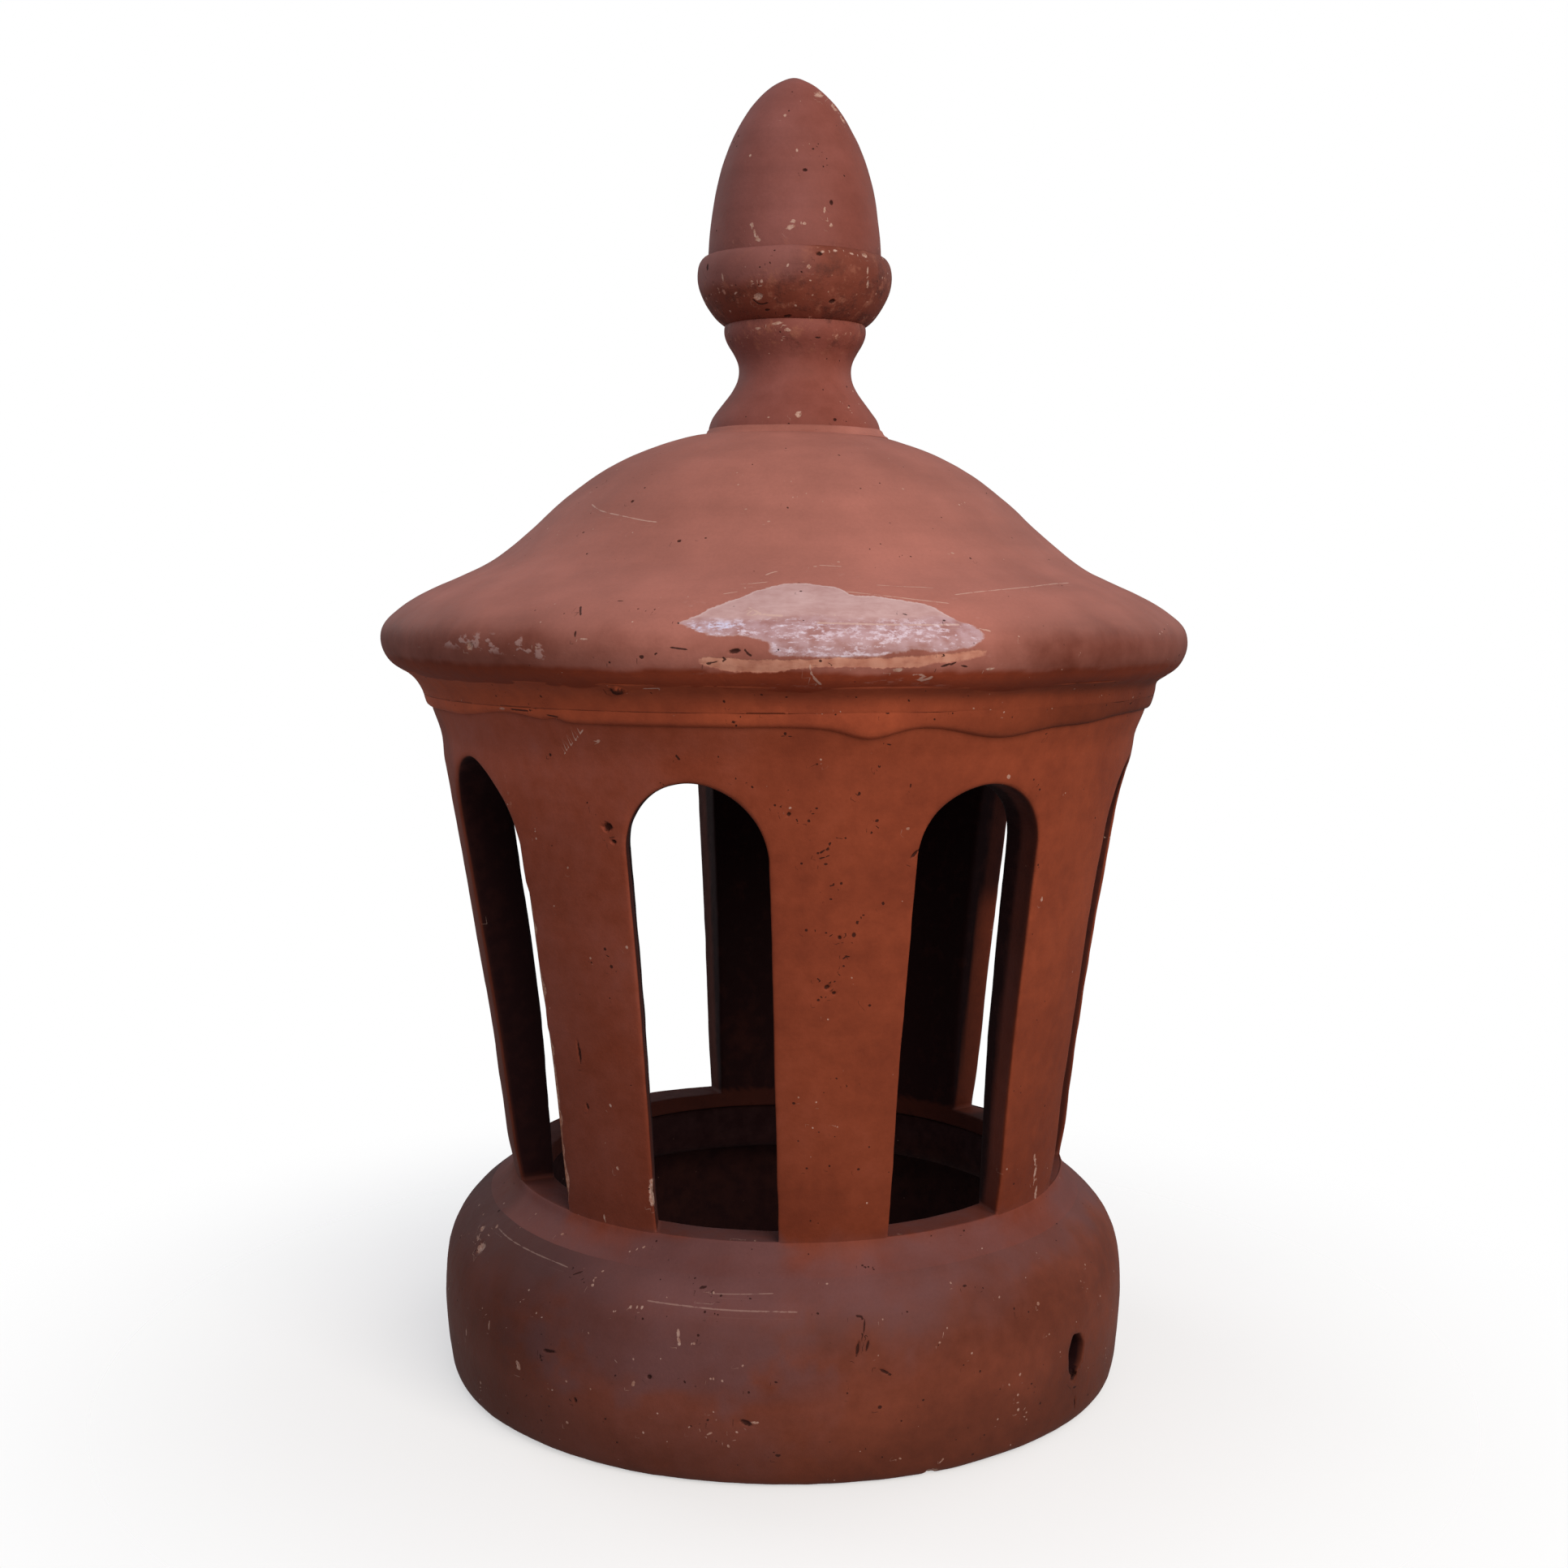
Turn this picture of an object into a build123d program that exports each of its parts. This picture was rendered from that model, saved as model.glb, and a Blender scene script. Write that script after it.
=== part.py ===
from build123d import *
import os
from math import cos, radians, sin, tan

# A terracotta chimney cap (a louvre lantern for a chimney pot): a hollow base ring that slips over
# the pot, a flaring drum with arched smoke openings, an ogee roof and an acorn finial.
# It is thrown and pressed in sections, luted together with slip and fired, so nothing moves.
# Millimetres. Z is up and the origin is the centre of the base ring's bottom face.

# Levels, from the bottom up
SEAT_Z = 88.0  # top of the base ring, where the drum stands
SILL_Z = 95.5
SPRING_Z = 260.0
ARCH_TOP_Z = 291.0
BAND_Z = 306.5  # lower edge of the cornice band
EAVES_Z = 327.0  # top of the drum, where the roof lands
CROWN_Z = 438.0  # flat landing on the roof under the finial
CUP_Z = 488.0
ACORN_SEAT_Z = 510.0
CUP_LIP_Z = 518.5
TOTAL_HEIGHT = 600.0

# Base ring
SOCKET_RADIUS = 140.0
LEDGE_Z = 64.0  # underside of the ledge that rests on the pot's rim
BASE_FOOT_RADIUS = 154.0
BASE_BELLY_RADIUS = 161.8
BASE_BELLY_Z = 39.5
BASE_TOP_RADIUS = 133.5
FOOT_ROUND = 3.0

# Fixing holes through the base ring's wall
FIXING_RADIUS = 8.0
FIXING_Z = 33.7
FIXING_AZIMUTHS = (52.8, 232.8)

# Drum: (radius, height) at foot, waist and head of each face
DRUM_OUTER = ((130.6, SEAT_Z), (144.9, 200.0), (166.5, EAVES_Z))
DRUM_INNER = ((114.5, SEAT_Z), (123.5, 200.0), (143.5, EAVES_Z))

# Arched openings. Azimuth turns from the front (-Y) towards +X. The jambs stand at a constant
# azimuth, so each opening widens upwards with the drum. They are cut by hand, so each one has its
# own azimuth and splays: how far its left and its right jamb, seen from outside, open out towards
# the inside, in degrees. A splay is negative where the opening narrows.
ARCHES = (
    (-13.2, 16.0, 16.0),
    (31.8, 8.0, 4.0),
    (76.8, 2.0, 2.0),
    (120.4, -9.0, -9.0),
    (166.8, -4.0, -4.0),
    (209.9, -6.0, -6.0),
    (253.2, 0.0, 0.0),
    (302.4, -2.0, 4.0),
)
ARCH_HALF_ANGLE = 11.5
SPRING_RADIUS = 155.0  # outer radius of the drum at the springing line
CUTTER_INNER_RADIUS = 90.0
CUTTER_OUTER_RADIUS = 190.0

# Cornice band
BAND_LIP = 1.2  # how far the band's lower edge stands proud of the drum
BAND_FACE = ((169.4, 316.0), (166.8, EAVES_Z))  # it leans in at the top, so a groove is left

# Roof
RIM_RADIUS = 186.6
RIM_Z = 344.5
ROOF_SEAT = (149.5, EAVES_Z)  # inner edge of the face that rests on the drum
ROOF_OUTER = ((180.4, 355.5), (162.0, 366.8), (137.7, 378.0), (116.0, 395.0), (97.6, 412.0), (70.2, 429.0))
ROOF_INNER = ((139.0, 346.0), (118.0, 370.0), (95.0, 391.0), (68.0, 409.0))
LANDING_RADIUS = 44.0
ROOF_CEILING_Z = 420.0
CEILING_RADIUS = 38.0

# Finial, standing a little off the main axis
FINIAL_OFFSET_X = 4.8
VENT_RADIUS = 12.0
STEM_FOOT_RADIUS = 40.6
STEM_NECK_RADIUS = 26.0
STEM_NECK_Z = 467.0
STEM_RING_RADIUS = 32.9
STEM_RING_Z = 480.5
CUP_RADIUS = 44.8
ACORN_RADIUS = 40.0
ACORN_OUTLINE = ((39.3, 529.0), (36.9, 547.0), (29.9, 570.0), (18.4, 588.5))
ACORN_CORE_RADIUS = 22.0
ACORN_CORE_TOP_Z = 566.0


def outline(*edges):
    """A closed face in the XZ plane, where X is the radius and Y the height, from its edges."""
    return Plane.XZ * make_face(Curve() + list(edges))


def turned(*edges):
    """A ring turned about the Z axis."""
    return revolve(outline(*edges), Axis.Z)


def lathe_line(*points):
    return Polyline(*points)


def radial(radius, azimuth, height):
    """A point at a radius and azimuth."""
    turn = radians(azimuth)
    return (radius * sin(turn), -radius * cos(turn), height)


def base_ring():
    shoulder_end = (BASE_TOP_RADIUS, SEAT_Z)
    belly = (BASE_BELLY_RADIUS, BASE_BELLY_Z)
    ring = turned(
        lathe_line(
            (DRUM_INNER[0][0] + FOOT_ROUND, LEDGE_Z),
            (SOCKET_RADIUS, LEDGE_Z),
            (SOCKET_RADIUS, FOOT_ROUND),
            (SOCKET_RADIUS + FOOT_ROUND, 0),
            (BASE_FOOT_RADIUS, 0),
        ),
        ThreePointArc((BASE_FOOT_RADIUS, 0), (BASE_FOOT_RADIUS + 2.3, 1.4), (BASE_FOOT_RADIUS + 3.2, 5.0)),
        ThreePointArc((BASE_FOOT_RADIUS + 3.2, 5.0), (160.9, 22.0), belly),
        Spline(belly, (158.2, 63.0), (146.9, 79.0), shoulder_end, tangents=((0, 1), (-1, 0.35))),
        lathe_line(shoulder_end, (DRUM_INNER[0][0], SEAT_Z), (DRUM_INNER[0][0], LEDGE_Z + FOOT_ROUND)),
        ThreePointArc(
            (DRUM_INNER[0][0], LEDGE_Z + FOOT_ROUND),
            (DRUM_INNER[0][0] + 0.3 * FOOT_ROUND, LEDGE_Z + 0.3 * FOOT_ROUND),
            (DRUM_INNER[0][0] + FOOT_ROUND, LEDGE_Z),
        ),
    )
    for azimuth in FIXING_AZIMUTHS:
        inside = radial(SOCKET_RADIUS - 20, azimuth, FIXING_Z)
        hole = Plane(origin=inside, z_dir=radial(1, azimuth, 0))
        ring -= hole * Cylinder(FIXING_RADIUS, 60, align=(Align.CENTER, Align.CENTER, Align.MIN))
    return ring


def arch_face(distance, azimuth, splays):
    """The opening's outline on an upright plane at a distance from the axis."""
    foot_radius = DRUM_OUTER[0][0]
    sill_half = foot_radius * sin(radians(ARCH_HALF_ANGLE))
    spring_half = ARCH_TOP_Z - SPRING_Z
    sill_left, sill_right = [sill_half + (foot_radius - distance) * tan(radians(splay)) for splay in splays]
    left, right = [spring_half + (SPRING_RADIUS - distance) * tan(radians(splay)) for splay in splays]
    edges = Curve() + [
        Polyline((-left, SPRING_Z), (-sill_left, SILL_Z), (sill_right, SILL_Z), (right, SPRING_Z)),
        ThreePointArc((right, SPRING_Z), ((right - left) / 2, ARCH_TOP_Z), (-left, SPRING_Z)),
    ]
    across = radial(1, azimuth + 90, 0)
    plane = Plane(origin=radial(distance, azimuth, 0), x_dir=across, z_dir=radial(1, azimuth, 0))
    return plane * make_face(edges)


def arch_cutter(azimuth, *splays):
    inner = arch_face(CUTTER_INNER_RADIUS, azimuth, splays)
    outer = arch_face(CUTTER_OUTER_RADIUS, azimuth, splays)
    return loft([inner, outer], ruled=True)


def drum():
    wall = turned(
        ThreePointArc(*DRUM_OUTER),
        lathe_line(DRUM_OUTER[2], DRUM_INNER[2]),
        ThreePointArc(*reversed(DRUM_INNER)),
        lathe_line(DRUM_INNER[0], DRUM_OUTER[0]),
    )
    for arch in ARCHES:
        wall -= arch_cutter(*arch)
    return wall


def drum_radius_at(height):
    """Outer radius of the drum where a level line meets its outline."""
    level = Line((0, height), (2 * RIM_RADIUS, height))
    return ThreePointArc(*DRUM_OUTER).intersect(level).vertices()[0].X


def cornice_band(drum_wall):
    edge_radius = drum_radius_at(BAND_Z)
    behind = edge_radius - 8
    strip = turned(
        lathe_line(
            (behind, BAND_Z),
            (edge_radius + BAND_LIP, BAND_Z),
            *BAND_FACE,
            (behind, EAVES_Z),
            (behind, BAND_Z),
        )
    )
    return strip - drum_wall


def roof():
    eaves_outer = BAND_FACE[1]
    rim = (RIM_RADIUS, RIM_Z)
    landing = (LANDING_RADIUS, CROWN_Z)
    ceiling = (CEILING_RADIUS, ROOF_CEILING_Z)
    return turned(
        lathe_line(ROOF_SEAT, eaves_outer),
        ThreePointArc(eaves_outer, (180.6, 332.4), rim),
        ThreePointArc(rim, (185.2, 350.6), ROOF_OUTER[0]),
        Spline(*ROOF_OUTER, landing),
        lathe_line(landing, (VENT_RADIUS, CROWN_Z), (VENT_RADIUS, ROOF_CEILING_Z), ceiling),
        Spline(ceiling, *reversed(ROOF_INNER), ROOF_SEAT),
    )


def slip_bead(low, bulge, high, corner):
    """A bead of slip in a joint: an arc between its two edges, closed through a corner behind it."""
    return turned(ThreePointArc(low, bulge, high), lathe_line(high, corner, low))


def foot_lute(ring, drum_wall):
    bead = slip_bead((142.5, 81.6), (136.2, 88.6), (131.7, 94.8), (126.0, 80.0))
    return bead - ring - drum_wall


def rim_lute(drum_wall, band, roof_shell):
    bead = slip_bead((168.8, 316.4), (173.2, 326.4), (182.0, 334.4), (164.0, 334.0))
    return bead - drum_wall - band - roof_shell


def on_finial_axis(piece):
    return Pos(FINIAL_OFFSET_X, 0, 0) * piece


def finial_lute(roof_shell, stem):
    bead = slip_bead((47.5, 436.6), (43.0, 439.6), (40.3, 443.6), (35.0, 434.0))
    return on_finial_axis(bead) - roof_shell - stem


def finial_stem():
    foot_top = (STEM_FOOT_RADIUS - 0.4, CROWN_Z + 6)
    neck = (STEM_NECK_RADIUS, STEM_NECK_Z)
    ring_low = (STEM_RING_RADIUS - 1.2, STEM_RING_Z)
    ring_top = (STEM_RING_RADIUS - 0.8, CUP_Z)
    return on_finial_axis(
        turned(
            lathe_line((VENT_RADIUS, CUP_Z), (VENT_RADIUS, CROWN_Z), (STEM_FOOT_RADIUS, CROWN_Z), foot_top),
            Spline(foot_top, (34.6, 451.4), neck, tangents=((-0.3, 1), (0, 1))),
            Spline(neck, (28.3, 475.0), ring_low, tangents=((0, 1), (1, 0.9))),
            ThreePointArc(ring_low, (STEM_RING_RADIUS, 484.5), ring_top),
            lathe_line(ring_top, (VENT_RADIUS, CUP_Z)),
        )
    )


def acorn_cup():
    ring_top = (STEM_RING_RADIUS - 0.8, CUP_Z)
    belly = (CUP_RADIUS, 509.5)
    lip = (CUP_RADIUS - 2.3, CUP_LIP_Z)
    return on_finial_axis(
        turned(
            lathe_line((VENT_RADIUS, CUP_Z), ring_top),
            ThreePointArc(ring_top, (40.2, 496.6), belly),
            ThreePointArc(belly, (CUP_RADIUS - 0.4, 515.2), lip),
            lathe_line(
                lip,
                (ACORN_RADIUS, CUP_LIP_Z),
                (ACORN_RADIUS, ACORN_SEAT_Z),
                (VENT_RADIUS, ACORN_SEAT_Z),
                (VENT_RADIUS, CUP_Z),
            ),
        )
    )


def acorn():
    base_outer = (ACORN_RADIUS, ACORN_SEAT_Z)
    cup_level = (ACORN_RADIUS, CUP_LIP_Z)
    tip = (0, TOTAL_HEIGHT)
    core_top = (0, ACORN_CORE_TOP_Z)
    core_side = (ACORN_CORE_RADIUS, ACORN_CORE_TOP_Z - ACORN_CORE_RADIUS)
    core_mid = (ACORN_CORE_RADIUS * cos(radians(45)), core_side[1] + ACORN_CORE_RADIUS * sin(radians(45)))
    return on_finial_axis(
        turned(
            lathe_line(core_side, (ACORN_CORE_RADIUS, ACORN_SEAT_Z), base_outer, cup_level),
            Spline(cup_level, *ACORN_OUTLINE, tip, tangents=((0, 1), (-1, 0))),
            lathe_line(tip, core_top),
            ThreePointArc(core_top, core_mid, core_side),
        )
    )


def main():
    ring = base_ring()
    drum_wall = drum()
    band = cornice_band(drum_wall)
    roof_shell = roof()
    stem = finial_stem()
    pieces = {
        "base_ring": ring,
        "foot_lute": foot_lute(ring, drum_wall),
        "drum": drum_wall,
        "cornice_band": band,
        "rim_lute": rim_lute(drum_wall, band, roof_shell),
        "roof": roof_shell,
        "finial_lute": finial_lute(roof_shell, stem),
        "finial_stem": stem,
        "acorn_cup": acorn_cup(),
        "acorn": acorn(),
    }
    os.makedirs("parts", exist_ok=True)
    for name, piece in pieces.items():
        export_step(piece, f"parts/{name}.step")


main()
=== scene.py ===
import itertools
import math

import bmesh
import bpy
import numpy as np
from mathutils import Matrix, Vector

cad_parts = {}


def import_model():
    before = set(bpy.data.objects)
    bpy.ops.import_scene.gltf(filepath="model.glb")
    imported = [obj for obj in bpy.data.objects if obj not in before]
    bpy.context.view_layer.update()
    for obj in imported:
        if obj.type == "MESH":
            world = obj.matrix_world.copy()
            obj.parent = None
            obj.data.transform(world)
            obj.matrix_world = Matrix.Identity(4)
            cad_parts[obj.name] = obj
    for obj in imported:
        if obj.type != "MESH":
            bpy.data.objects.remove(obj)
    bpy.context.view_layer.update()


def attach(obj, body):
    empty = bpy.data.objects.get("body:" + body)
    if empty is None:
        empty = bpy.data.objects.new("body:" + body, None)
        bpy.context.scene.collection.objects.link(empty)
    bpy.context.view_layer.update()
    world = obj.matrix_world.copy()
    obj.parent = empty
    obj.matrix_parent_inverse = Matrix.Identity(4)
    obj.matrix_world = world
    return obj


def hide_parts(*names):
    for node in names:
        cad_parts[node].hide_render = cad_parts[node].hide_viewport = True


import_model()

# A weathered terracotta chimney cap. Each clay piece is built here as a mesh that follows its CAD
# piece and adds what the hand and the weather did to it: uneven walls, soft edges, chips and pits.
# Outlines are in millimetres, as (radius, height). Azimuth is in degrees and turns from the front
# (-Y) towards +X.

MM = 0.001

# Drum and its openings, as in the CAD model: azimuth, left splay, right splay
SEAT_Z = 88.0
SILL_Z = 95.5
SPRING_Z = 260.0
ARCH_TOP_Z = 291.0
EAVES_Z = 327.0
DRUM_OUTER = ((130.6, SEAT_Z), (144.9, 200.0), (166.5, EAVES_Z))
DRUM_INNER = ((114.5, SEAT_Z), (123.5, 200.0), (143.5, EAVES_Z))
ARCHES = (
    (-13.2, 16.0, 16.0), (31.8, 8.0, 4.0), (76.8, 2.0, 2.0), (120.4, -9.0, -9.0),
    (166.8, -4.0, -4.0), (209.9, -6.0, -6.0), (253.2, 0.0, 0.0), (302.4, -2.0, 4.0),
)
ARCH_HALF_ANGLE = 11.5
# How some openings depart from that: degrees more on the left and on the right, each at the sill and at
# the springing, then the millimetres that the head rises and leans to the right, and the degrees that the
# foot of the right jamb's inner edge stands further right
UNEVEN = {
    0: ((0.1, 0.1), (-0.2, -1.3), 0.0, -1.4), 1: ((1.2, 0.2), (0.5, -0.8), -2.2, 0.0, 1.4),
    3: ((0.0, 0.0), (-0.7, -1.7), 0.0, 0.0), 7: ((0.3, 0.3), (-1.3, -1.1), 4.0, -4.0),
}
FIXING_HOLES = (52.8, 232.8)
FIXING_Z = 33.7
FIXING_WEAR = (0.84, 1.18)  # the holes are worn to an oval of this width and height
FINIAL_X = 3.4  # where the finial stands on the roof
ROOF_TILT = 0.45  # the roof and all above it lean this much to the right, in degrees
FINIAL_LEAN = 0.011  # the finial leans back to the left by this share of its height
FINIAL_PIVOT_Z = 520.0
DRUM_X = 1.3  # how far the drum stands off the axis
DRUM_HEAD_X = 0.9  # and how much further its head does
BASE_X = -0.7
BASE_FOOT_RADIUS = 156.0

# Outer outlines of the turned pieces
BASE_OUTER = [
    (155.0, 0.0), (158.0, 4.5), (159.9, 15.0), (161.3, 28.0), (161.8, 40.0), (161.0, 53.0), (158.2, 64.0),
    (153.0, 73.0), (146.6, 79.6), (140.2, 84.2), (133.4, 88.0),
]
FOOT_LUTE_OUTER = [(144.6, 79.8), (141.4, 83.3), (138.0, 86.2), (134.8, 89.2), (132.4, 92.6), (131.0, 96.6)]
BAND_OUTER = [(166.8, 314.4), (168.4, 315.0), (169.4, 317.4), (170.2, 321.0), (170.7, 327.0)]
RIM_LUTE_OUTER = [(169.8, 319.2), (172.6, 326.4), (179.4, 331.4)]
ROOF_OUTER = [
    (170.6, 327.0), (175.5, 329.0), (181.8, 333.0), (185.6, 338.6), (186.7, 344.6), (185.3, 350.4),
    (180.6, 355.4), (172.8, 361.0), (162.0, 366.8), (149.4, 372.4), (137.7, 378.2), (127.0, 386.0),
    (116.4, 395.0), (104.4, 406.3), (90.6, 417.4), (80.0, 424.0), (68.0, 429.8), (56.0, 434.0),
    (44.0, 437.4), (36.0, 438.0),
]
FINIAL_LUTE_OUTER = [(44.2, 436.8), (41.8, 438.2), (40.5, 441.0)]
STEM_FOOT_OUTER = [(40.4, 437.4), (40.0, 441.0), (38.6, 445.0), (36.2, 448.6)]
STEM_NECK_OUTER = [
    (36.2, 448.6), (33.2, 452.6), (29.6, 457.4), (26.9, 462.4), (26.0, 467.0), (26.5, 471.0),
    (28.4, 475.4), (31.2, 479.8),
]
STEM_RING_OUTER = [(31.2, 479.8), (32.4, 482.6), (32.9, 485.6), (32.4, 489.4)]
CUP_OUTER = [
    (32.2, 487.8), (36.4, 491.2), (39.8, 495.6), (42.6, 500.6), (44.4, 505.6), (45.0, 510.4),
    (44.4, 515.0), (42.6, 518.2), (40.6, 519.4),
]
ACORN_OUTER = [
    (0.0, 600.0), (2.4, 599.7), (5.4, 598.4), (9.8, 596.0), (14.2, 592.4), (19.4, 587.0), (23.9, 580.6),
    (29.4, 570.6), (33.9, 558.6), (36.8, 547.0), (38.6, 536.0), (39.8, 524.0), (40.2, 510.4),
]


# ---------------------------------------------------------------- noise and curves

def value_noise(points, cell, seed):
    """Smooth noise from -1 to 1 at each point, with bumps about one cell across."""
    place = points / cell + 0.37 * seed
    corner = np.floor(place).astype(np.int64)
    part = place - corner
    part = part * part * part * (part * (part * 6 - 15) + 10)
    total = np.zeros(len(points))
    for step in itertools.product((0, 1), repeat=3):
        x, y, z = (corner + step).T
        mixed = (x * 73856093) ^ (y * 19349663) ^ (z * 83492791) ^ (seed * 668265263)
        mixed = ((mixed ^ (mixed >> 13)) * 1274126177) & 0x7FFFFFFF
        value = ((mixed ^ (mixed >> 15)) & 0xFFFF) / 32767.5 - 1
        share = np.prod(np.where(step, part, 1 - part), axis=1)
        total += share * value
    return total


def ramp(value, low, high):
    """A smooth step from 0 at low to 1 at high; it falls where low is above high."""
    share = np.clip((np.asarray(value, float) - low) / (high - low), 0, 1)
    return share * share * (3 - 2 * share)


def turn_ramp(azimuth, low, high):
    """A smooth step round the front, from 0 at low to 1 at high. It fades out behind."""
    return ramp(azimuth, low, high) * ramp(np.abs(azimuth), 172, 128)


def curve_through(points, per_span=12):
    """A smooth curve through the points (Catmull-Rom)."""
    points = np.array(points, float)
    if len(points) == 2:
        return points
    ends = [2 * points[0] - points[1], *points, 2 * points[-1] - points[-2]]
    ends = np.array(ends)
    share = np.linspace(0, 1, per_span, endpoint=False)[:, None]
    spans = []
    for a, b, c, d in zip(ends, ends[1:], ends[2:], ends[3:]):
        spans.append(
            0.5 * (2 * b + (c - a) * share + (2 * a - 5 * b + 4 * c - d) * share**2
                   + (3 * b - a - 3 * c + d) * share**3)
        )
    return np.vstack([*spans, points[-1:]])


def evenly(points, spacing):
    """The same line with its points spaced evenly."""
    lengths = np.r_[0, np.cumsum(np.linalg.norm(np.diff(points, axis=0), axis=1))]
    count = max(2, int(round(lengths[-1] / spacing)) + 1)
    at = np.linspace(0, lengths[-1], count)
    return np.column_stack([np.interp(at, lengths, points[:, i]) for i in range(points.shape[1])])


def section(runs, soften=2, closed=True):
    """One outline from smooth runs, each (spacing, points), with the corners between them softened."""
    parts = [evenly(curve_through(points), spacing)[:-1] for spacing, points in runs]
    line = np.vstack(parts)
    if not closed:
        line = np.vstack([line, np.array([runs[-1][1][-1]], float)])
    for _ in range(soften):
        smooth = (np.roll(line, 1, axis=0) + 2 * line + np.roll(line, -1, axis=0)) / 4
        if not closed:
            smooth[0], smooth[-1] = line[0], line[-1]
        line = smooth
    return line


def arc_radius(points):
    """Radius at each height of the arc through three (radius, height) points."""
    (r1, z1), (r2, z2), (r3, z3) = points
    matrix = np.array([[r2 - r1, z2 - z1], [r3 - r1, z3 - z1]])
    right = np.array([r2**2 - r1**2 + z2**2 - z1**2, r3**2 - r1**2 + z3**2 - z1**2]) / 2
    centre_r, centre_z = np.linalg.solve(matrix, right)
    size = math.hypot(r1 - centre_r, z1 - centre_z)
    side = 1 if r2 > centre_r else -1
    return lambda z: centre_r + side * np.sqrt(size**2 - (np.asarray(z) - centre_z) ** 2)


drum_arc = arc_radius(DRUM_OUTER)
inner_radius = arc_radius(DRUM_INNER)


def outer_radius(height):
    """The drum's outer radius: 1 mm fuller than in CAD, and swollen where the cornice band was pressed on."""
    swelling = 2.5 * ramp(height, 299.0, 316.0)
    return drum_arc(height) + swelling + 1.0 * ramp(height, 96, 112) * ramp(height, 306, 288)


# ---------------------------------------------------------------- meshes

def new_object(name, data):
    """An object in the scene."""
    made = bpy.data.objects.new(name, data)
    bpy.context.scene.collection.objects.link(made)
    return made


def mesh_object(name, points, faces):
    """An object from points in millimetres."""
    mesh = bpy.data.meshes.new(name)
    mesh.from_pydata((np.asarray(points) * MM).tolist(), [], faces)
    return new_object(name, mesh)


def grid_faces(index, wrap_columns=True):
    """Quads between neighbours of a 2-D array of point numbers. Its last row meets the first."""
    down = np.roll(index, -1, axis=0)
    across = np.roll(index, -1, axis=1)
    both = np.roll(down, -1, axis=1)
    quads = np.stack([index, down, both, across], axis=-1)
    if not wrap_columns:
        quads = quads[:, :-1]
    return quads.reshape(-1, 4)


def lathe(name, outline, around, shift_x=0.0, closed=True):
    """A turned piece. An open outline starts and ends on the axis."""
    angle = np.linspace(0, 2 * math.pi, around, endpoint=False)[:, None]
    radius, height = outline.T
    points = np.stack(
        [shift_x + radius * np.sin(angle), -radius * np.cos(angle), height + 0 * angle], axis=-1
    )
    index = np.arange(points.shape[0] * points.shape[1]).reshape(points.shape[:2])
    faces = grid_faces(index, wrap_columns=closed)
    piece = mesh_object(name, points.reshape(-1, 3), faces.tolist())
    weld(piece)
    return piece


def weld(piece, distance=1e-5):
    """Join doubled points and turn every face outwards."""
    bm = bmesh.new()
    bm.from_mesh(piece.data)
    bmesh.ops.remove_doubles(bm, verts=bm.verts, dist=distance)
    bmesh.ops.recalc_face_normals(bm, faces=bm.faces)
    bm.to_mesh(piece.data)
    bm.free()


def refine(piece, places, reach):
    """Halve the mesh twice around some places, so that a chip or pit there has a shape."""
    if not len(places):
        return
    for margin in (2.5, 1.2):
        points = coordinates(piece) / MM
        close = np.zeros(len(points), bool)
        for place, size in zip(places, reach):
            close |= np.linalg.norm(points - place, axis=1) < size + margin
        bm = bmesh.new()
        bm.from_mesh(piece.data)
        bm.verts.ensure_lookup_table()
        edges = [e for e in bm.edges if close[e.verts[0].index] and close[e.verts[1].index]]
        bmesh.ops.subdivide_edges(bm, edges=edges, cuts=1, use_grid_fill=True)
        bm.to_mesh(piece.data)
        bm.free()


def coordinates(piece):
    flat = np.empty(len(piece.data.vertices) * 3)
    piece.data.vertices.foreach_get("co", flat)
    return flat.reshape(-1, 3)


def set_coordinates(piece, points):
    piece.data.vertices.foreach_set("co", points.ravel())
    piece.data.update()


def normals(piece):
    flat = np.empty(len(piece.data.vertices) * 3)
    piece.data.vertices.foreach_get("normal", flat)
    return flat.reshape(-1, 3)


def store(piece, name, values):
    """Keep a number or a vector on every point, for the material to read."""
    kind, key = ("FLOAT_VECTOR", "vector") if values.ndim == 2 else ("FLOAT", "value")
    attribute = piece.data.attributes.new(name, kind, "POINT")
    attribute.data.foreach_set(key, np.ascontiguousarray(values, dtype=np.float32).ravel())


# ---------------------------------------------------------------- places on a piece's outside

class Skin:
    """A piece's outside, on which a place is an azimuth and a height."""

    def __init__(self, line, shift_x=0.0):
        curve = curve_through(line) if len(line) < 40 else np.array(line)
        if curve[0, 1] > curve[-1, 1]:
            curve = curve[::-1]
        self.radii, self.heights = curve.T
        self.lengths = np.r_[0, np.cumsum(np.linalg.norm(np.diff(curve, axis=0), axis=1))]
        self.shift_x = shift_x

    def radius_at(self, height):
        return np.interp(height, self.heights, self.radii)

    def length_at(self, height):
        return np.interp(height, self.heights, self.lengths)

    def point(self, azimuth, height):
        turn, radius = math.radians(azimuth), float(self.radius_at(height))
        return np.array([self.shift_x + radius * math.sin(turn), -radius * math.cos(turn), height])

    def place(self, points):
        """Each point's azimuth, length up the outline, radius, and depth below the outside."""
        radius = np.hypot(points[:, 0] - self.shift_x, points[:, 1])
        depth = self.radius_at(points[:, 2]) - radius
        return azimuth_of(points, self.shift_x), self.length_at(points[:, 2]), radius, depth


NEAR = 3.2  # how far past its edge a mark's field reaches, in millimetres
SKIN_DEPTH = 4.0  # marks are kept on what lies this close to the outside
OUTSIDE = -99.0  # a distance inside a patch that is far out of it


def turn_between(azimuth, other):
    return (azimuth - other + 180) % 360 - 180


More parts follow.
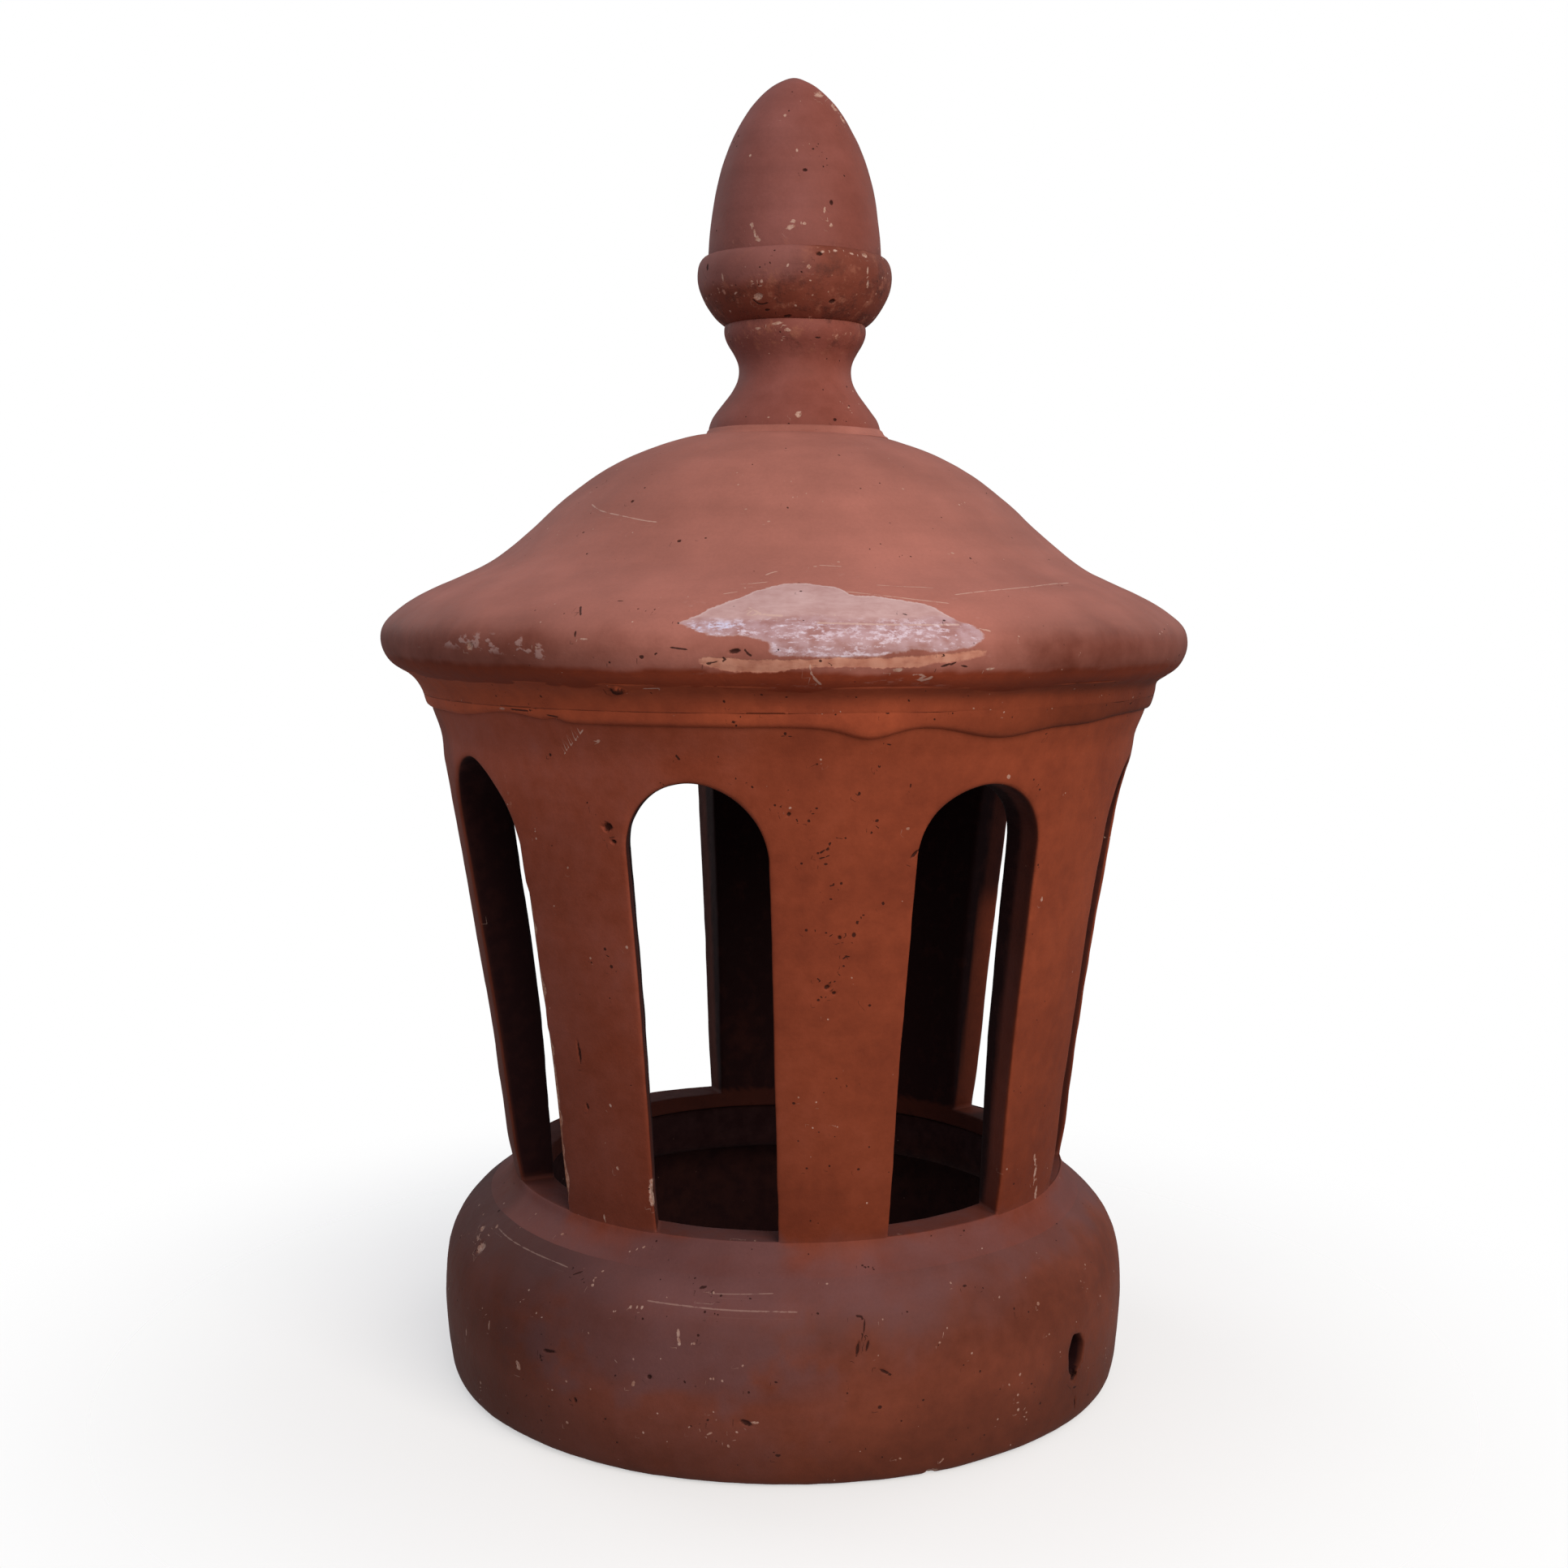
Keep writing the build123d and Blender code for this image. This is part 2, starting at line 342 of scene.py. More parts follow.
def azimuth_of(points, shift_x=0.0):
    return np.degrees(np.arctan2(points[:, 0] - shift_x, -points[:, 1]))


def across_spot(skin, placed, spot):
    """How far each placed point is from a spot's middle, and its place there in the spot's half sizes."""
    azimuth, along, radius, _ = placed
    turn, height, half_width, half_height, tilt = (*spot, 0.0)[:5]
    right = radius * np.radians(turn_between(azimuth, turn))
    up = along - skin.length_at(height)
    u = (right * math.cos(tilt) + up * math.sin(tilt)) / half_width
    v = (up * math.cos(tilt) - right * math.sin(tilt)) / half_height
    return np.hypot(right, up), u, v


def spot_fields(skin, points, spots):
    """Place of each point in its nearest spot, in units of the spot's half sizes, and whether it is near.

    A spot is azimuth, height, half width, half height, and the tilt in radians if there is one."""
    placed = skin.place(points)
    fields = np.zeros((len(points), 3))
    fields[:, :2] = 9.0
    best = np.full(len(points), 1e9)
    for spot in spots:
        distance, u, v = across_spot(skin, placed, spot)
        share = np.hypot(u, v)
        closer = (distance < NEAR + max(spot[2:4])) & (share < best) & (placed[3] < SKIN_DEPTH)
        fields[closer] = np.column_stack([u, v, np.ones_like(u)])[closer]
        best[closer] = share[closer]
    return fields


def stroke_fields(skin, points, strokes):
    """Offset from the nearest thin line in units of its half width, inset from its ends, and nearness.

    A stroke is its half width and then the azimuths and heights that it passes."""
    azimuth, along, radius, depth = skin.place(points)
    fields = np.zeros((len(points), 3))
    fields[:, 0] = 9.0
    best = np.full(len(points), NEAR)
    for half_width, *route in strokes:
        route = evenly(curve_through(route, 24), 0.4)
        size = np.radians(route[:, 0]) * np.mean(skin.radius_at(route[:, 1]))
        path = np.column_stack([size, skin.length_at(route[:, 1])])
        step = np.gradient(path, axis=0)
        step /= np.linalg.norm(step, axis=1, keepdims=True)
        done = np.r_[0, np.cumsum(np.linalg.norm(np.diff(path, axis=0), axis=1))]
        middle = route.mean(axis=0)
        span = np.degrees(done[-1] / skin.radius_at(middle[1])) + 4
        beside = np.abs(turn_between(azimuth, middle[0])) < span
        level = np.abs(along - skin.length_at(middle[1])) < done[-1] + 4
        picked = np.where(beside & level & (depth < SKIN_DEPTH))[0]
        right = radius[picked, None] * np.radians(turn_between(azimuth[picked, None], route[None, :, 0]))
        up = along[picked, None] - path[None, :, 1]
        nearest = np.argmin(right**2 + up**2, axis=1)
        rows = np.arange(len(picked))
        right, up, (step_x, step_y) = right[rows, nearest], up[rows, nearest], step[nearest].T
        offset = up * step_x - right * step_y
        inset = done[nearest] + right * step_x + up * step_y
        inset = np.minimum(inset, done[-1] - inset)
        closer = (np.abs(offset) < best[picked]) & (inset > -NEAR)
        chosen = picked[closer]
        fields[chosen] = np.column_stack([offset / half_width, inset, np.ones_like(inset)])[closer]
        best[chosen] = np.abs(offset)[closer]
    return fields


def patch_field(skin, points, outline):
    """Distance inside a closed outline of azimuths and heights, in millimetres; negative outside."""
    azimuth, along, _, depth = skin.place(points)
    here = np.column_stack([np.radians(azimuth) * PATCH_RADIUS, along])
    corners = evenly(curve_through([*outline, outline[0]]), 0.8)
    corners = np.column_stack([np.radians(corners[:, 0]) * PATCH_RADIUS, skin.length_at(corners[:, 1])])
    inside = np.zeros(len(here), bool)
    distance = np.full(len(here), 1e9)
    for a, b in zip(corners[:-1], corners[1:]):
        leg = b - a
        share = np.clip(((here - a) @ leg) / max(leg @ leg, 1e-9), 0, 1)
        distance = np.minimum(distance, np.linalg.norm(here - a - share[:, None] * leg, axis=1))
        crosses = (a[1] > here[:, 1]) != (b[1] > here[:, 1])
        rise = b[1] - a[1] if b[1] != a[1] else 1e-9
        inside ^= crosses & (here[:, 0] < a[0] + (here[:, 1] - a[1]) / rise * leg[0])
    signed = np.where(inside, distance, -distance)
    return np.where(depth < SKIN_DEPTH, signed, OUTSIDE)


def scattered(seed, count, heights, size):
    """Small spots strewn at random all round the piece between two heights."""
    random = np.random.default_rng(seed)
    spots = []
    for _ in range(count):
        half = size * random.uniform(0.55, 1.45)
        spots.append((
            random.uniform(-180.0, 180.0), random.uniform(*heights), half * random.uniform(0.7, 1.6), half,
            random.uniform(-1.2, 1.2),
        ))
    return spots


# ---------------------------------------------------------------- marks of use, by piece

# Holes have a real depth: azimuth, height, half width, half height, depth, and the tilt if there is one
HOLES = {
    "drum": [
        (-27.7, 271.8, 2.7, 2.1, 1.6, 0.3), (-26.9, 265.9, 1.4, 1.0, 0.9),
        (-38.8, 171.5, 0.8, 6.0, 0.7, 0.05), (-38.2, 147.7, 0.9, 1.6, 0.8), (6.3, 207.2, 1.3, 1.1, 1.0, 0.5),
        (7.5, 204.6, 1.0, 0.8, 0.7), (8.1, 228.2, 0.9, 1.0, 0.7, 0.4), (0.2, 279.4, 0.9, 1.1, 0.7, -0.6),
        (19.3, 262.0, 2.9, 0.8, 0.7, 0.8), (96.0, 188.0, 2.4, 1.8, 1.3, 0.4), (148.0, 244.0, 2.0, 1.7, 1.2),
        (188.5, 132.0, 1.8, 3.0, 1.1, 0.2), (236.0, 210.0, 2.3, 1.5, 1.2, 0.6),
    ],
    "cornice_band": [
        (-37.4, 321.8, 2.0, 2.6, 1.6, -0.3), (-22.2, 325.6, 4.2, 1.9, 1.7), (128.0, 320.0, 3.0, 1.5, 1.4),
    ],
    "rim_lute": [(-22.1, 329.0, 4.2, 2.4, 1.8)],
    "roof": [
        (-20.4, 387.4, 1.1, 1.0, 0.7), (-5.8, 344.8, 2.6, 1.1, 0.8, 0.2), (-38.0, 404.5, 1.1, 1.1, 0.7),
        (140.0, 352.0, 2.6, 1.4, 1.0, 0.4), (215.0, 383.0, 1.5, 1.2, 0.8),
    ],
    "base_ring": [
        (-19.8, 45.8, 1.3, 1.0, 0.9), (-32.5, 29.4, 0.9, 1.5, 0.9), (-37.9, 46.9, 4.2, 0.9, 0.8, 0.15),
        (-5.2, 29.9, 3.2, 1.3, 1.0, -0.4), (52.6, 24.4, 2.6, 3.6, 1.2), (11.1, 59.5, 0.7, 3.6, 0.7, -0.25),
        (12.6, 60.4, 0.6, 2.6, 0.6, -0.3), (53.2, 11.0, 0.7, 3.4, 0.6), (15.0, 49.7, 2.6, 0.7, 0.6, -0.5),
        (105.0, 52.0, 2.6, 1.6, 1.0, 0.4), (160.0, 30.0, 1.8, 2.8, 1.0, 0.2),
    ],
    "acorn": [(25.3, 538.4, 1.0, 1.4, 0.5), (7.3, 552.3, 1.2, 0.9, 0.5)],
    "acorn_cup": [(14.0, 514.8, 1.6, 1.2, 0.9), (24.8, 495.2, 1.8, 1.2, 0.8, 0.3)],
    "finial_stem": [(26.8, 443.4, 0.9, 0.8, 0.5)],
}

# Chips have a depth too, and show paler clay
CHIPS = {
    "drum": [(-8.3, 96.4, 2.6, 0.9, 0.8), (21.6, 94.6, 2.4, 0.9, 0.8), (-25.2, 113.0, 1.3, 5.0, 0.6, 0.1)],
    "base_ring": [
        (-62.6, 72.2, 3.4, 3.0, 0.9, 0.3), (-67.0, 77.0, 2.2, 1.6, 0.7, -0.4), (23.2, 1.5, 3.4, 2.4, 1.0),
        (-140.0, 60.0, 3.6, 2.2, 1.0, 0.2), (-95.0, 12.0, 3.2, 4.4, 1.4, 0.2),
    ],
    "roof": [
        (-42.8, 344.2, 2.0, 1.8, 0.6), (118.0, 346.0, 3.4, 2.6, 1.0, 0.2), (-152.0, 343.0, 4.2, 2.2, 1.2),
    ],
    "acorn": [
        (44.0, 590.2, 4.4, 1.9, 0.9, 0.5), (60.0, 585.0, 3.2, 2.2, 0.8, 0.6), (63.0, 579.6, 1.6, 2.4, 0.6),
    ],
    "acorn_cup": [(46.0, 516.2, 2.2, 1.0, 0.6), (-24.0, 497.0, 2.6, 1.6, 0.5, 0.3)],
    "finial_stem": [(1.9, 445.0, 1.1, 1.5, 0.4, -0.5)],
}

# Dark pits and specks, the pits' dark colour being painted shade: azimuth, height, half width, half height,
# and the tilt if there is one
PITS = {
    "drum": [
        (-37.1, 300.5, 0.9, 0.8), (-36.2, 302.0, 0.7, 0.6), (-30.6, 219.6, 0.8, 0.8),
        (-29.7, 212.2, 1.0, 0.9), (10.2, 287.5, 0.9, 0.9), (12.9, 298.3, 0.7, 0.7), (-0.6, 311.9, 0.7, 0.8),
        (0.8, 310.1, 0.6, 0.5), (13.9, 307.2, 1.2, 0.4, -0.2), (-1.8, 283.0, 0.6, 0.6),
        (4.2, 281.8, 0.7, 0.5), (3.1, 276.6, 0.8, 0.8), (13.1, 276.3, 1.0, 0.7, 0.5), (8.5, 269.5, 0.6, 0.5),
        (6.2, 267.4, 0.9, 0.5, 0.8), (5.9, 265.0, 0.9, 0.6, 0.3), (4.5, 263.5, 0.7, 0.6),
        (5.7, 258.9, 1.0, 0.5), (2.1, 259.2, 0.6, 0.6), (8.1, 250.8, 0.6, 0.7), (8.9, 252.0, 0.4, 0.4),
        (14.7, 241.9, 0.8, 0.9), (6.6, 244.3, 0.7, 0.4), (2.9, 231.5, 0.7, 0.7), (11.7, 237.3, 0.6, 0.4),
        (10.8, 234.6, 0.7, 0.5), (10.3, 229.2, 1.0, 1.2), (9.4, 220.1, 1.3, 0.4, -0.2),
        (8.9, 216.0, 0.6, 0.5), (4.9, 210.9, 0.7, 0.5), (7.3, 209.5, 1.2, 0.5), (5.0, 201.8, 0.7, 0.7),
        (13.4, 198.7, 0.8, 0.6), (12.4, 201.1, 0.6, 0.4), (1.1, 157.4, 0.8, 0.7), (3.4, 128.8, 0.7, 0.7),
        (7.4, 129.6, 0.6, 0.6), (12.6, 127.5, 0.8, 0.6), (17.8, 290.2, 0.4, 1.2),
    ],
    "cornice_band": [
        (-15.0, 324.1, 0.8, 0.8), (-2.9, 321.3, 0.7, 0.6), (-9.1, 323.5, 0.6, 0.5), (13.0, 320.0, 1.0, 0.5),
    ],
    "roof": [
        (-17.1, 342.0, 1.1, 0.9), (-8.9, 339.9, 1.2, 0.7), (-7.3, 340.9, 0.8, 0.6), (4.2, 341.4, 0.7, 0.6),
        (2.2, 367.2, 0.7, 0.6), (15.3, 359.0, 1.3, 0.5, -0.5), (-26.1, 350.3, 0.5, 1.6, 0.2),
        (-22.5, 363.1, 1.8, 0.4), (-45.5, 391.1, 0.8, 0.7), (19.5, 339.6, 2.6, 0.6, 0.3),
        (22.0, 339.2, 2.0, 0.5, -0.2),
    ],
    "base_ring": [
        (14.3, 34.8, 1.0, 1.0), (30.6, 76.2, 1.2, 0.6), (-13.0, 80.4, 2.0, 0.9, 0.3),
        (-0.6, 15.5, 1.3, 0.7, 0.4), (-36.0, 78.3, 2.8, 0.5, 0.6), (-67.8, 83.5, 1.0, 0.9),
        (12.4, 67.8, 0.4, 3.4, -0.2), (15.8, 48.3, 0.8, 0.5),
    ],
    "acorn_cup": [(-5.9, 489.0, 2.4, 0.9, 0.2), (-62.4, 512.0, 1.2, 2.0), (-20.0, 491.5, 1.6, 0.7, 0.2)],
    "finial_stem": [(44.6, 450.4, 0.6, 0.6), (-4.5, 441.0, 0.7, 0.5)],
}

# Pale chips and flecks, in the same way
FLECKS = {
    "drum": [
        (-27.8, 307.6, 0.8, 0.7), (-26.4, 221.3, 0.7, 0.7), (-32.6, 150.3, 0.7, 0.9),
        (-32.2, 122.4, 0.8, 0.8), (-25.1, 118.0, 1.2, 2.2, 0.1), (-25.2, 110.5, 1.4, 2.8),
        (17.9, 272.6, 0.7, 0.6), (0.4, 282.0, 0.6, 0.5), (-68.4, 233.0, 1.0, 5.0, 0.1),
        (-68.8, 222.0, 0.8, 2.4), (-68.2, 206.0, 0.5, 1.2), (-68.6, 181.0, 0.5, 1.6),
        (55.2, 109.1, 1.1, 3.4, -0.1), (57.2, 98.0, 1.2, 4.0, 0.1), (54.2, 116.6, 0.8, 1.8, 0.2),
        (45.3, 236.9, 0.8, 1.2), (34.1, 291.8, 1.0, 1.1, 0.3), (-44.0, 94.5, 0.7, 1.0),
        (-36.8, 97.8, 0.6, 1.5), (-7.3, 93.6, 2.4, 0.7, -0.2), (-4.4, 93.9, 1.4, 0.6),
        (-5.0, 91.6, 0.7, 0.6),
    ],
    "cornice_band": [(-44.5, 318.9, 1.8, 0.6)],
    "roof": [
        (13.6, 337.9, 2.4, 0.9, 0.05), (-42.8, 344.2, 1.2, 1.4), (-24.8, 348.4, 1.8, 0.4),
        (25.6, 338.0, 2.0, 0.6, 0.1), (4.9, 377.0, 0.8, 0.5), (9.0, 379.0, 0.7, 0.5),
    ],
    "base_ring": [
        (-63.0, 80.3, 1.1, 0.8), (-66.0, 74.0, 1.2, 1.0, 0.3), (-15.7, 64.5, 0.7, 2.0, 0.1),
        (-15.4, 60.5, 0.8, 0.8), (-13.1, 61.2, 0.5, 0.5), (-24.1, 71.4, 0.6, 0.8), (-22.2, 71.8, 0.6, 0.9),
        (-32.1, 75.8, 0.7, 0.7), (-10.4, 47.9, 0.5, 0.5), (-56.7, 16.5, 0.7, 0.7), (-34.4, 17.8, 0.8, 0.8),
        (-20.9, 21.4, 0.6, 0.6), (-10.6, 24.5, 1.4, 0.5, 0.5), (-61.3, 35.7, 0.6, 2.0),
        (-52.6, 46.8, 0.6, 2.4), (-44.5, 35.7, 1.4, 2.4, 0.4), (43.6, 63.0, 0.8, 0.8),
        (38.5, 20.6, 0.8, 0.8), (-22.3, 42.0, 0.7, 1.4, -0.3), (-4.0, 30.2, 1.8, 0.6),
        (-55.1, 87.0, 0.6, 1.4),
    ],
    "acorn": [
        (-29.8, 528.7, 1.1, 0.8, 0.2), (-2.8, 526.9, 2.0, 1.0, 0.4), (-1.0, 529.8, 1.0, 0.7),
        (6.1, 528.5, 0.9, 0.7), (24.1, 528.4, 0.9, 0.9), (-36.5, 560.0, 0.8, 0.8),
        (-24.5, 521.8, 1.4, 0.9, -0.3), (-9.9, 578.0, 0.7, 0.9), (1.7, 561.2, 0.6, 0.8),
        (-27.0, 524.6, 0.6, 1.8, 0.2), (20.0, 535.0, 0.6, 1.6, -0.2),
    ],
    "acorn_cup": [
        (16.0, 515.6, 0.9, 0.7), (24.0, 516.6, 1.2, 0.7, 0.2), (35.0, 516.0, 1.3, 0.6, -0.2),
        (46.6, 509.4, 0.6, 1.8), (48.3, 503.9, 0.8, 2.0, 0.3), (-47.5, 506.3, 0.6, 1.8),
        (-20.0, 503.0, 0.8, 0.9), (-40.0, 499.0, 1.2, 0.5, 0.4),
    ],
    "finial_stem": [
        (1.9, 445.6, 1.2, 1.9, -0.5), (-31.1, 484.1, 1.6, 0.6), (-6.0, 483.0, 1.8, 0.7),
        (-14.0, 486.0, 2.4, 0.7, 0.1),
    ],
}

# Pale scratches and dark cuts: half width, then the azimuths and heights that each one passes
SCRATCHES = {
    "drum": [(0.35, (-29.6, 313.0), (-31.6, 308.0), (-33.6, 303.6), (-34.6, 300.0))],
    "cornice_band": [(0.3, (-29.1, 324.6), (-29.6, 321.0))],
    "rim_lute": [(0.35, (-19.0, 329.0), (-15.4, 329.6))],
    "roof": [
        (0.35, (-52.8, 404.2), (-46.0, 400.6), (-39.0, 398.4), (-31.0, 396.0), (-26.8, 395.1)),
        (0.4, (23.9, 366.3), (29.0, 367.6), (37.5, 369.2), (46.0, 370.8), (53.0, 371.5)),
        (0.35, (-7.4, 369.7), (-1.8, 371.0)), (0.45, (-3.4, 373.0), (-2.0, 374.6), (-0.6, 375.1)),
        (0.4, (8.1, 367.4), (15.0, 365.4), (22.9, 362.9)), (0.3, (12.9, 369.9), (22.7, 368.9)),
        (0.5, (-5.0, 361.8), (-2.8, 358.7)), (0.75, (-5.3, 358.6), (-2.4, 358.6), (0.3, 357.9)),
        (0.6, (3.4, 355.6), (12.0, 355.2), (22.5, 355.2)), (0.55, (23.9, 354.2), (26.4, 352.3)),
        (0.55, (3.0, 341.4), (3.1, 337.6), (3.7, 334.4), (4.8, 331.4)),
        (0.7, (15.0, 335.4), (16.4, 336.2), (17.6, 334.4), (18.9, 337.2)),
        (0.6, (15.2, 334.8), (17.0, 333.6), (18.6, 335.6)), (0.3, (-9.0, 366.0), (-6.0, 367.4)),
        (0.3, (5.0, 377.6), (10.0, 377.0)), (0.35, (160.0, 390.0), (172.0, 384.0), (186.0, 381.0)),
        (0.35, (-120.0, 372.0), (-108.0, 368.0), (-96.0, 367.0)), (0.4, (88.0, 402.0), (97.0, 398.0)),
    ],
    "base_ring": [
        (0.35, (-62.5, 80.4), (-56.0, 79.8), (-48.0, 79.6), (-41.9, 79.4), (-38.0, 79.0)),
        (0.4, (-22.2, 74.3), (-15.7, 74.1), (-8.2, 73.8), (-0.8, 73.7), (3.0, 73.6)),
        (0.28, (-12.3, 78.6), (-6.0, 79.0), (-0.8, 79.4)), (0.45, (-25.9, 51.6), (-24.6, 48.6)),
        (0.35, (98.0, 74.0), (112.0, 76.0), (124.0, 75.0)), (0.35, (-150.0, 44.0), (-138.0, 49.0)),
    ],
}
CUTS = {
    "cornice_band": [(0.4, (-43.0, 318.9), (-38.4, 318.6)), (0.35, (-36.0, 317.6), (-33.0, 316.6))],
    "roof": [
        (0.45, (-27.9, 361.4), (-27.2, 359.0), (-26.4, 356.5)), (0.35, (-14.0, 346.0), (-11.0, 345.0)),
    ],
    "acorn_cup": [(0.4, (-30.0, 497.0), (-24.0, 494.0), (-16.0, 494.6))],
    "finial_stem": [(0.4, (14.0, 480.3), (20.0, 480.0), (24.0, 480.6))],
}

# The polished patch on the front of the rim, whose pale bluish colour is partly painted reflection, the bare
# strip under it and the flakes to the left
POLISHED = [
    (-13.2, 355.0), (-10.4, 359.0), (-7.8, 362.9), (-3.0, 368.1), (2.4, 370.0), (7.6, 368.4), (9.2, 366.0),
    (13.6, 365.2), (18.8, 362.8), (21.2, 358.4), (24.6, 353.0), (24.2, 348.6), (19.7, 344.8), (14.6, 344.6),
    (9.4, 343.0), (4.0, 342.8), (-1.2, 343.4), (-1.6, 347.6), (-4.4, 350.4), (-9.0, 350.8),
]
BARE_STRIP = [
    (-11.0, 340.6), (-9.0, 342.6), (-3.0, 342.4), (6.0, 342.8), (13.0, 343.4), (20.0, 345.0), (24.5, 346.0),
    (24.0, 342.0), (17.4, 339.6), (12.9, 338.2), (6.1, 338.8), (1.8, 338.2), (-1.5, 336.0), (-6.3, 336.6),
]
FLAKED = [
    (-51.0, 347.5), (-46.0, 347.8), (-38.0, 349.4), (-31.5, 346.6), (-27.5, 344.0), (-30.5, 340.4),
    (-38.0, 342.0), (-47.0, 343.6),
]
PATCH_RADIUS = 178.0  # the rim's radius about where they lie


# ---------------------------------------------------------------- turned pieces

def base_ring():
    outline = section([
        (3.0, [(143.0, 0.0), (155.0, 0.0)]),
        (2.0, BASE_OUTER),
        (3.0, [(133.4, 88.0), (114.6, 88.0)]),
        (3.0, [(114.6, 88.0), (114.6, 67.0)]),
        (3.0, [(114.6, 67.0), (118.0, 64.0), (140.0, 64.0)]),
        (5.0, [(140.0, 64.0), (140.0, 3.0)]),
        (3.0, [(140.0, 3.0), (143.0, 0.0)]),
    ])
    piece = lathe("base_ring_clay", outline, 460)
    points = coordinates(piece) / MM
    azimuth = azimuth_of(points)
    # the foot has slumped outwards at the right front
    slumped = 2.2 * np.exp(-(turn_between(azimuth, 52) / 26) ** 2) * ramp(points[:, 2], 26, 2)
    points[:, :2] *= (1 + slumped / BASE_FOOT_RADIUS)[:, None]
    set_coordinates(piece, points * MM)
    for azimuth in FIXING_HOLES:
        bore(piece, azimuth)
    return piece, Skin(BASE_OUTER)


BORE_SIDES = 40
# Distances from the base ring's axis, and the hole's radius at each: it flares at the outer face
BORE_REACH = (120.0, 158.0, 160.6, 162.0, 175.0)
BORE_RADIUS = (7.9, 7.9, 8.0, 8.6, 10.0)


def bore(piece, azimuth):
    """Cut a fixing hole, worn to an upright oval."""
    turn = math.radians(azimuth)
    outward = np.array([math.sin(turn), -math.cos(turn), 0.0])
    across = np.array([math.cos(turn), math.sin(turn), 0.0])
    angle = np.linspace(0, 2 * math.pi, BORE_SIDES, endpoint=False)[:, None, None]
    reach, radius = [np.array(row)[None, :, None] for row in (BORE_REACH, BORE_RADIUS)]
    wobble = 1 + 0.05 * np.sin(3 * angle + turn) + 0.03 * np.sin(7 * angle)
    centre = np.array([0.0, 0.0, FIXING_Z])
    wide, tall = FIXING_WEAR
    ring = wide * np.cos(angle) * across + tall * np.sin(angle) * np.array([0, 0, 1.0])
    points = centre + reach * outward + radius * wobble * ring
    index = np.arange(BORE_SIDES * len(BORE_REACH)).reshape(BORE_SIDES, -1)
    faces = grid_faces(index, wrap_columns=False).tolist()
    faces += [index[:, 0].tolist(), index[::-1, -1].tolist()]
    cutter = mesh_object("cutter", points.reshape(-1, 3), faces)
    weld(cutter)
    cut = piece.modifiers.new("cut", "BOOLEAN")
    cut.object = cutter
    cut.operation = "DIFFERENCE"
    cut.solver = "EXACT"
    graph = bpy.context.evaluated_depsgraph_get()
    whole = piece.data
    piece.data = bpy.data.meshes.new_from_object(piece.evaluated_get(graph))
    piece.modifiers.clear()
    bpy.data.meshes.remove(whole)
    bpy.data.objects.remove(cutter)


def foot_lute():
    outline = section([
        (1.3, FOOT_LUTE_OUTER),
        (1.6, [(131.0, 96.6), (129.4, 88.6)]),
        (1.6, [(129.4, 88.6), (133.4, 86.4), (144.6, 79.8)]),
    ], soften=1)
    return lathe("foot_lute_clay", outline, 420), Skin(FOOT_LUTE_OUTER)


# Dips and rises of the band's lower edge: azimuth, height, half width in degrees
BAND_WAVES = (
    (11.0, -4.6, 4.6), (31.0, -5.6, 8.0), (-45.0, 3.2, 7.5), (46.0, -2.4, 9.0), (-34.5, 1.4, 1.6),
    (90.0, -2.6, 14.0), (128.0, 2.4, 10.0), (160.0, -3.2, 9.0), (-160.0, 2.0, 12.0), (-110.0, -2.8, 12.0),
)


def cornice_band():
    outline = section([
        (1.0, [(164.4, 313.8), (166.8, 314.4)]),
        (1.2, BAND_OUTER),
        (2.0, [(170.7, 327.0), (166.0, 327.0)]),
        (2.0, [(166.0, 327.0), (164.4, 320.0), (164.4, 313.8)]),
    ], soften=1)
    piece = lathe("cornice_band_clay", outline, 480)
    points = coordinates(piece) / MM
    azimuth = azimuth_of(points)
    wave = np.zeros(len(points))
    for turn, rise, width in BAND_WAVES:
        wave += rise * np.exp(-(turn_between(azimuth, turn) / width) ** 2)
    share = ramp(points[:, 2], 325.0, 314.5)
    points[:, 2] += share * wave
    # the drum behind is narrower lower down, so the edge follows it in
    inward = share * (drum_arc(points[:, 2]) - drum_arc(points[:, 2] - share * wave)) * 1.3
    points[:, :2] *= (1 + inward / np.hypot(points[:, 0], points[:, 1]))[:, None]
    set_coordinates(piece, points * MM)
    return piece, Skin(BAND_OUTER)


def rim_lute():
    outline = section([
        (1.2, RIM_LUTE_OUTER),
        (1.6, [(179.4, 331.4), (174.0, 328.6), (170.9, 327.2)]),
        (1.6, [(170.9, 327.2), (170.4, 322.6), (169.8, 319.2)]),
    ], soften=1)
    return lathe("rim_lute_clay", outline, 480), Skin(RIM_LUTE_OUTER)


def roof():
    outline = section([
        (3.0, [(149.5, 327.0), (170.6, 327.0)]),
        (1.75, ROOF_OUTER),
        (3.0, [(36.0, 438.0), (12.0, 438.0)]),
        (3.0, [(12.0, 438.0), (12.0, 420.0)]),
        (5.5, [(12.0, 420.0), (38.0, 420.0), (68.0, 409.0), (95.0, 391.0), (118.0, 370.0), (139.0, 346.0),
               (149.5, 327.0)]),
    ])
    return lathe("roof_clay", outline, 450), Skin(ROOF_OUTER)


def finial_lute():
    outline = section([
        (1.0, FINIAL_LUTE_OUTER),
        (1.4, [(40.5, 441.0), (37.6, 440.0), (36.0, 435.4)]),
        (1.4, [(36.0, 435.4), (44.2, 436.8)]),
    ], soften=1)
    return lathe("finial_lute_clay", outline, 220, FINIAL_X), Skin(FINIAL_LUTE_OUTER, FINIAL_X)


